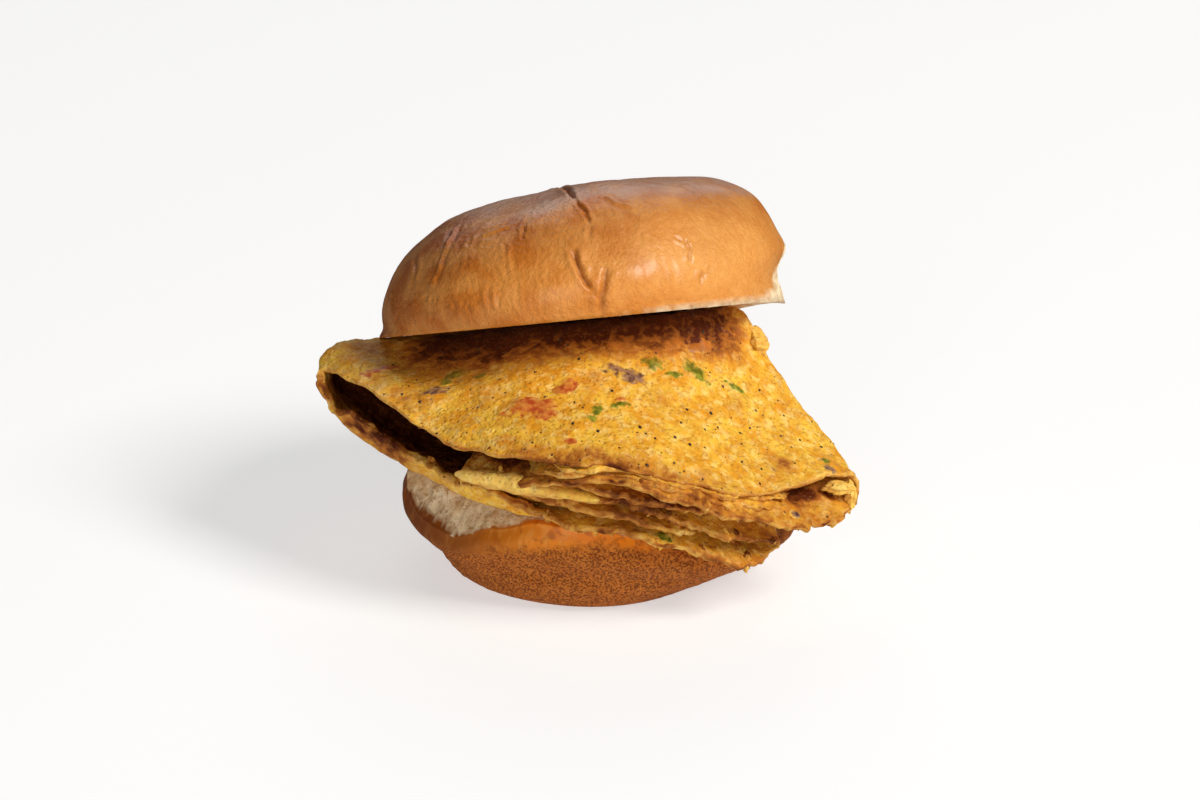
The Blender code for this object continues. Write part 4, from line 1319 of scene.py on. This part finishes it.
def crown_material(settings):
    """Egg-washed golden crust, its creases, its painted shade, highlight and sheen, and the crumb where
    it is cut or torn.
    """
    material, tree, shader, place = new_material("golden_crust", 0.2)
    crumb, crease, baked, dusty, honeyed = attributes(tree, CROWN_MARKS)
    speckle = blotches(tree, place, *CRUST_SPECKLE)
    skin = blotches(tree, place, *CRUST_SKIN)
    sheen_patches = blotches(tree, place, *SHEEN_PATCHES)
    bread, hollow = crumb_colour(tree, place, settings)
    colour = mix(tree, baked, settings.golden, settings.browned)
    # Painted shade on the crown's left: past 1, the mark turns the crust towards the colour of the
    # creases.
    colour = stain(tree, spread(tree, baked, 0.7, 1.6), 0.6, colour, settings.crease)
    colour = stain(tree, blotches(tree, place, *CRUST_PATCHES), 0.32, colour, settings.honey)
    # Painted highlight on the crown's right front.
    colour = stain(tree, honeyed, 0.5, colour, settings.honey)
    colour = stain(tree, speckle, 0.14, colour, settings.browned)
    colour = stain(tree, skin, 0.14, colour, settings.browned)
    # Painted sheen on the crown's top, in patches.
    colour = stain(tree, dusty, spread(tree, sheen_patches, 0.0, 1.0, *PAINTED_SHEEN_SHARE), colour, settings.dusty)
    # Darker creases: crack colour and painted shade in the grooves.
    colour = stain(tree, crease, 0.5, colour, settings.crease)
    tree.links.new(mix(tree, crumb, colour, bread), shader["Base Color"])
    gloss = spread(tree, speckle, 0.0, 1.0, *CRUST_ROUGHNESS)
    tree.links.new(between(tree, crumb, gloss, CRUMB_ROUGHNESS), shader["Roughness"])
    coat = times(tree, maths(tree, "SUBTRACT", 1.0, crumb), 0.28)
    tree.links.new(coat, shader["Coat Weight"])
    shader["Coat Roughness"].default_value = 0.25
    relief = maths(tree, "ADD", skin, times(tree, speckle, 0.35))
    set_bump(tree, shader, between(tree, crumb, relief, hollow), *CRUST_BUMP)
    return material


def heel_material(settings):
    """Porous brown bottom crust, glossy orange side crust, and crumb at the cut."""
    material, tree, shader, place = new_material("bottom_crust", 0.2)
    crumb, sole, orange = attributes(tree, HEEL_MARKS)
    pits = blotches(tree, place, *SOLE_HOLES)
    dust = blotches(tree, place, *SOLE_FLECKS)
    upright = add_node(tree, "ShaderNodeMapping", {"Vector": place, "Scale": (1.0, 1.0, 0.3)})
    streaks = blotches(tree, upright.outputs[0], *SIDE_STREAKS)
    spots = blotches(tree, place, *SIDE_SPOTS)
    bread, hollow = crumb_colour(tree, place, settings)
    porous = stain(tree, dust, 0.5, settings.sole, settings.sole_pale)
    porous = stain(tree, blotches(tree, place, *SOLE_PATCHES), 0.25, porous, settings.sole_pale)
    porous = stain(tree, pits, 0.7, porous, settings.sole_pit)
    side = mix(tree, orange, settings.side, settings.side_orange)
    side = stain(tree, spots, spread(tree, orange, 0.0, 1.0, *SPOT_SHARE), side, settings.sole)
    side = stain(tree, streaks, spread(tree, orange, 0.0, 1.0, *STREAK_SHARE), side, settings.side_pale)
    colour = mix(tree, sole, side, porous)
    tree.links.new(mix(tree, crumb, colour, bread), shader["Base Color"])
    rough = between(tree, crumb, between(tree, sole, *HEEL_ROUGHNESS), CRUMB_ROUGHNESS)
    tree.links.new(rough, shader["Roughness"])
    pitted = maths(tree, "SUBTRACT", 1.0, times(tree, pits, sole))
    set_bump(tree, shader, between(tree, crumb, pitted, hollow), *SOLE_BUMP)
    return material


def egg_material(settings):
    """Fried egg, its toasted inner side and its torn edges, darkened by painted shade in the folds and
    under the crown.
    """
    material, tree, shader, place = new_material("fried_egg", 0.12)
    cut, toast = attributes(tree, EGG_MARKS)
    colour, curds = egg_colour(tree, place, settings)
    bubbles = pores(tree, place, *EGG_BUBBLES)
    colour = stain(tree, cut, 0.3, colour, settings.pale)
    colour = toasted(tree, place, toast, colour, settings)
    colour = stain(tree, bubbles, 0.3, colour, settings.browned)
    tree.links.new(colour, shader["Base Color"])
    tree.links.new(spread(tree, curds, 0.0, 1.0, *EGG_ROUGHNESS), shader["Roughness"])
    shader["Subsurface Weight"].default_value = 0.12
    shader["Subsurface Radius"].default_value = (1.0, 0.55, 0.2)
    shader["Subsurface Scale"].default_value = 0.002
    grit = times(tree, blotches(tree, place, *EGG_GRIT), 0.5)
    uneven = maths(tree, "ADD", grit, blotches(tree, place, *EGG_PIMPLES))
    set_bump(tree, shader, maths(tree, "SUBTRACT", uneven, bubbles), *EGG_BUMP)
    return material


def vegetable_material(name, flesh, skin, settings):
    """A piece of vegetable under a torn film of egg."""
    material, tree, shader, place = new_material(name, 0.16)
    film, toast = attributes(tree, CHUNK_MARKS)
    torn = blotches(tree, place, *TORN_FILM)
    colour = mix(tree, blotches(tree, place, *CHUNK_MOTTLE), flesh, skin)
    covered = spread(tree, maths(tree, "ADD", film, torn), 0.9, 1.75)
    colour = mix(tree, covered, colour, egg_colour(tree, place, settings)[0])
    tree.links.new(toasted(tree, place, toast, colour, settings), shader["Base Color"])
    shader["Roughness"].default_value = 0.45
    set_bump(tree, shader, torn, *CHUNK_BUMP)
    return material


def pepper_material():
    """Ground black pepper, dark with brown flakes."""
    material, tree, shader, place = new_material("black_pepper", 0.5)
    flakes = blotches(tree, place, *PEPPER_FLECKS)
    tree.links.new(mix(tree, flakes, PEPPER_DARK, PEPPER_BROWN), shader["Base Color"])
    shader["Roughness"].default_value = 0.6
    return material


# Pieces

def to_object(name, bm, material, replaced=()):
    """A finished piece of the sandwich, turned into metres, riding on the one body."""
    bmesh.ops.scale(bm, vec=[1 / MILLIMETRES] * 3, verts=bm.verts)
    bmesh.ops.recalc_face_normals(bm, faces=bm.faces)
    mesh = bpy.data.meshes.new(name)
    bm.to_mesh(mesh)
    bm.free()
    mesh.shade_smooth()
    mesh.materials.append(material)
    piece = bpy.data.objects.new(name, mesh)
    bpy.context.scene.collection.objects.link(piece)
    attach(piece, "root")
    for node in replaced:
        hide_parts(node)


def colour_setting(name, description, default):
    """A colour that a user may change."""
    return FloatVectorProperty(
        name=name, description=description, default=default, subtype="COLOR", min=0.0, max=1.0
    )


def number_setting(name, description, default, low, high, **kind):
    """A number that a user may change between two limits, with its unit or subtype."""
    return FloatProperty(
        name=name, description=description, default=default, min=low, max=high, **kind
    )


class SandwichBun(bpy.types.PropertyGroup):
    """Finish of the bun's two halves."""

    golden: colour_setting("Golden crust", "Crust of the crown's side", (0.66, 0.205, 0.018))
    # Also the painted shade on the crown's left side.
    browned: colour_setting("Browned crust", "Crust of the crown's top", (0.39, 0.098, 0.009))
    # Also the paler colour of the painted highlight on the crown's right front.
    honey: colour_setting("Honey crust", "Paler blotches in the crust", (0.94, 0.48, 0.13))
    # The pale tone painted on the crown's top as the back light's sheen.
    dusty: colour_setting("Dusty top", "Dull bloom on the crown's top", (0.46, 0.26, 0.18))
    # Also the painted shade in the creases and on the crown's left side.
    crease: colour_setting("Creases", "Cracks in the crown's crust", (0.22, 0.05, 0.008))
    crumb: colour_setting("Crumb", "White of the bread", (0.94, 0.76, 0.50))
    crumb_shade: colour_setting("Crumb shade", "Pores of the bread", (0.50, 0.29, 0.13))
    sole: colour_setting("Sole", "Porous bottom crust", (0.40, 0.098, 0.008))
    sole_pale: colour_setting("Pale sole", "Flecks in the bottom crust", (0.60, 0.20, 0.032))
    sole_pit: colour_setting("Pits", "Pits in the bottom crust", (0.16, 0.028, 0.004))
    side: colour_setting("Side crust", "Smooth crust above the sole", (0.21, 0.052, 0.008))
    side_orange: colour_setting("Orange crust", "Front of the side crust", (0.90, 0.26, 0.010))
    side_pale: colour_setting("Pale streaks", "Streaks in the side crust", (0.86, 0.40, 0.085))
    wrinkle_depth: number_setting(
        "Wrinkle depth", "Fine wrinkles in the crown's crust", 0.00014, 0.0, 0.001, unit="LENGTH"
    )
    pore_depth: number_setting(
        "Pore depth", "Pits in the bottom crust", 0.00035, 0.0, 0.001, unit="LENGTH"
    )


class SandwichOmelette(bpy.types.PropertyGroup):
    """Size and finish of the omelette and what is in it."""

    thickness: number_setting(
        "Thickness", "Thickness of the sheet of egg", 0.0028, 0.001, 0.005, unit="LENGTH"
    )
    pepper_count: IntProperty(
        name="Pepper", description="Scattered flakes of pepper", default=900, min=0, max=2000
    )
    yolk: colour_setting("Yolk yellow", "Deeper yellow of the egg", (0.76, 0.32, 0.016))
    yellow: colour_setting("Yellow", "Main yellow of the egg", (0.88, 0.52, 0.055))
    pale: colour_setting("Pale curds", "Curds and cut edges", (0.96, 0.68, 0.21))
    lace: colour_setting("Lace", "Fine fried lace", (0.58, 0.21, 0.014))
    browned: colour_setting("Browned egg", "Browned patches", (0.48, 0.20, 0.035))
    scorched: colour_setting("Scorched egg", "Fried brown of the rims", (0.46, 0.145, 0.018))
    # Also the painted shadow under the crown and deep inside the folds.
    toasted: colour_setting("Toasted egg", "Inner side of the folds", (0.095, 0.016, 0.003))
    tomato: colour_setting("Tomato", "Flesh of the tomato", (0.45, 0.065, 0.014))
    tomato_pale: colour_setting("Pale tomato", "Core of the tomato", (0.66, 0.22, 0.04))
    chilli: colour_setting("Chilli", "Green chilli", (0.085, 0.11, 0.004))
    chilli_pale: colour_setting("Pale chilli", "Light green chilli", (0.30, 0.30, 0.025))
    onion: colour_setting("Onion", "Purple of the onion", (0.095, 0.036, 0.032))
    onion_pale: colour_setting("Pale onion", "White of the onion", (0.36, 0.20, 0.10))


class SandwichStage(bpy.types.PropertyGroup):
    """Camera and light."""

    camera_distance: number_setting(
        "Camera distance", "From the camera to the sandwich's middle", 1.0, 0.3, 5.0, unit="LENGTH"
    )
    camera_rise: number_setting(
        "Camera rise", "How far it looks down", math.radians(20), 0.0, math.pi / 2, subtype="ANGLE"
    )
    lens: number_setting("Lens", "Focal length in millimetres", 115.0, 20.0, 300.0)
    key_power: number_setting("Key light", "Power of the key light", 124.0, 0.0, 1000.0, unit="POWER")
    back_power: number_setting("Back light", "Power of the back light", 23.0, 0.0, 1000.0, unit="POWER")
    fill_power: number_setting("Fill light", "Power of the fill light", 17.0, 0.0, 1000.0, unit="POWER")
    sky: number_setting("Sky", "Brightness of the surrounding studio", 0.05, 0.0, 10.0)


class SANDWICH_OT_add_crown(bpy.types.Operator):
    """Add the bun's domed top"""

    bl_idname = "sandwich.add_crown"
    bl_label = "Add Crown"

    def execute(self, context):
        settings = context.scene.sandwich_bun
        bun = build_crown(settings)
        to_object("crown_crust", bun, crown_material(settings), ["bun_crown"])
        return {"FINISHED"}


class SANDWICH_OT_add_heel(bpy.types.Operator):
    """Add the bun's bottom half"""

    bl_idname = "sandwich.add_heel"
    bl_label = "Add Heel"

    def execute(self, context):
        settings = context.scene.sandwich_bun
        bun = build_heel(settings)
        to_object("heel_crust", bun, heel_material(settings), ["bun_heel"])
        return {"FINISHED"}


class SANDWICH_OT_add_omelette(bpy.types.Operator):
    """Add the folded sheet of egg and the lump at its apex"""

    bl_idname = "sandwich.add_omelette"
    bl_label = "Add Omelette"

    def execute(self, context):
        settings = context.scene.sandwich_omelette
        thickness = settings.thickness * MILLIMETRES
        material = egg_material(settings)
        for name, bm, replaced in (
            ("egg_sheet", build_sheet(thickness), ["omelette"]),
            ("egg_apex", build_lump(thickness), ["omelette"]),
            ("egg_leaves", build_strata(thickness), []),
            ("egg_flap", build_flap(), []),
            ("egg_shreds", build_shreds(), []),
        ):
            to_object(name, bm, material, replaced)
        return {"FINISHED"}


class SANDWICH_OT_add_vegetables(bpy.types.Operator):
    """Add the tomato, chilli and onion in the egg"""

    bl_idname = "sandwich.add_vegetables"
    bl_label = "Add Vegetables"

    def execute(self, context):
        settings = context.scene.sandwich_omelette
        tree = tree_of(bpy.data.objects["egg_sheet"])
        kinds = (
            ("tomato_pieces", TOMATO_PLACES, settings.tomato, settings.tomato_pale),
            ("chilli_pieces", CHILLI_PLACES, settings.chilli, settings.chilli_pale),
            ("onion_pieces", ONION_PLACES, settings.onion, settings.onion_pale),
        )
        for k, (name, places, flesh, pale) in enumerate(kinds):
            bm = bmesh.new()
            for i, place in enumerate(places):
                add_chunk(bm, tree, place, 100 + 40 * k + 3 * i)
            material = vegetable_material(name, flesh, pale, settings)
            to_object(name, bm, material)
        return {"FINISHED"}


class SANDWICH_OT_add_pepper(bpy.types.Operator):
    """Add the flakes of ground pepper in the egg"""

    bl_idname = "sandwich.add_pepper"
    bl_label = "Add Pepper"

    def execute(self, context):
        settings = context.scene.sandwich_omelette
        draw = random.Random(PEPPER_SEED)
        sheet = bpy.data.objects["egg_sheet"]
        tree = tree_of(sheet)
        bm = bmesh.new()
        for i, (x, y) in enumerate(PEPPER_PLACES):
            hit = tree.ray_cast(Vector((x, y, SKYWARD)), DOWN)
            add_speck(bm, hit[0], hit[1], draw.uniform(*COARSE_FLAKES), i)
        faces = [face for face in sheet.data.polygons if face.center.y < PEPPER_BACK]
        level = [face for face in faces if face.normal.z > PEPPER_SLOPE]
        upper = [face for face in level if face.center.z > PEPPER_HEIGHT]
        for i in range(settings.pepper_count):
            face = draw.choice(upper if i % 4 else faces)
            size = FINE_FLAKES[0] + FINE_FLAKES[1] * draw.random() ** 3
            add_speck(bm, face.center * MILLIMETRES, face.normal, size, 200 + i)
        to_object("pepper_flakes", bm, pepper_material())
        return {"FINISHED"}


class SANDWICH_OT_add_stage(bpy.types.Operator):
    """Add the floor, the lights and the camera"""

    bl_idname = "sandwich.add_stage"
    bl_label = "Add Stage"

    def execute(self, context):
        settings = context.scene.sandwich_stage
        add_floor()
        for name, place, size, colour in LIGHTS:
            add_area_light(name + "_light", place, size, getattr(settings, name + "_power"), colour)
        world = bpy.data.worlds.new("studio")
        context.scene.world = world
        world.use_nodes = True
        background = world.node_tree.nodes["Background"].inputs
        background["Color"].default_value = rgba(WHITE)
        background["Strength"].default_value = settings.sky
        context.scene.view_settings.view_transform = "Standard"
        add_camera(settings)
        return {"FINISHED"}


def add_floor():
    """A pale floor that runs past the view."""
    bm = bmesh.new()
    bmesh.ops.create_grid(bm, x_segments=1, y_segments=1, size=FLOOR_HALF)
    mesh = bpy.data.meshes.new("floor")
    bm.to_mesh(mesh)
    bm.free()
    material, _, shader, _ = new_material("pale_floor", 0.0)
    shader["Base Color"].default_value = rgba(FLOOR_GREY)
    shader["Roughness"].default_value = 1.0
    shader["Emission Color"].default_value = rgba(WHITE)
    shader["Emission Strength"].default_value = FLOOR_GLOW
    mesh.materials.append(material)
    floor = bpy.data.objects.new("floor", mesh)
    bpy.context.scene.collection.objects.link(floor)
    floor.visible_glossy = False


def add_area_light(name, place, size, power, colour):
    """A square soft light that faces the sandwich."""
    light = bpy.data.lights.new(name, "AREA")
    light.size = size
    light.energy = power
    light.color = colour
    lamp = bpy.data.objects.new(name, light)
    bpy.context.scene.collection.objects.link(lamp)
    lamp.location = place
    lamp.rotation_euler = (LIT_PLACE - lamp.location).to_track_quat("-Z", "Y").to_euler()


def add_camera(settings):
    """A long lens that looks along +Y, and down at the sandwich's middle."""
    camera = bpy.data.cameras.new("camera")
    camera.lens = settings.lens
    camera.sensor_width = SENSOR_WIDTH
    rig = bpy.data.objects.new("camera", camera)
    bpy.context.scene.collection.objects.link(rig)
    rise = settings.camera_rise
    back = Vector((0, -math.cos(rise), math.sin(rise)))
    rig.location = CAMERA_TARGET + back * settings.camera_distance
    rig.rotation_euler = (math.pi / 2 - rise, 0, 0)
    bpy.context.scene.camera = rig


class SANDWICH_PT_pieces(bpy.types.Panel):
    """The pieces of the sandwich and their settings, in the sidebar"""

    bl_idname = "SANDWICH_PT_pieces"
    bl_label = "Breakfast Sandwich"
    bl_space_type = "VIEW_3D"
    bl_region_type = "UI"
    bl_category = "Sandwich"

    def draw(self, context):
        for kind in PIECES:
            self.layout.operator(kind.bl_idname)
        scene = context.scene
        for settings in (scene.sandwich_bun, scene.sandwich_omelette, scene.sandwich_stage):
            for name in settings.bl_rna.properties.keys():
                if name not in ("name", "rna_type"):
                    self.layout.prop(settings, name)


PIECES = (
    SANDWICH_OT_add_stage,
    SANDWICH_OT_add_crown,
    SANDWICH_OT_add_heel,
    SANDWICH_OT_add_omelette,
    SANDWICH_OT_add_vegetables,
    SANDWICH_OT_add_pepper,
)
CLASSES = (SandwichBun, SandwichOmelette, SandwichStage) + PIECES + (SANDWICH_PT_pieces,)


def register():
    """Makes the operators, the panel and the settings known to Blender."""
    for kind in CLASSES:
        bpy.utils.register_class(kind)
    bpy.types.Scene.sandwich_bun = PointerProperty(type=SandwichBun)
    bpy.types.Scene.sandwich_omelette = PointerProperty(type=SandwichOmelette)
    bpy.types.Scene.sandwich_stage = PointerProperty(type=SandwichStage)


def unregister():
    """Takes them away again."""
    del bpy.types.Scene.sandwich_stage
    del bpy.types.Scene.sandwich_omelette
    del bpy.types.Scene.sandwich_bun
    for kind in reversed(CLASSES):
        bpy.utils.unregister_class(kind)


def main():
    """Makes the whole sandwich and its stage."""
    register()
    bpy.ops.sandwich.add_stage()
    bpy.ops.sandwich.add_crown()
    bpy.ops.sandwich.add_heel()
    bpy.ops.sandwich.add_omelette()
    bpy.ops.sandwich.add_vegetables()
    bpy.ops.sandwich.add_pepper()


if __name__ == "__main__":
    main()
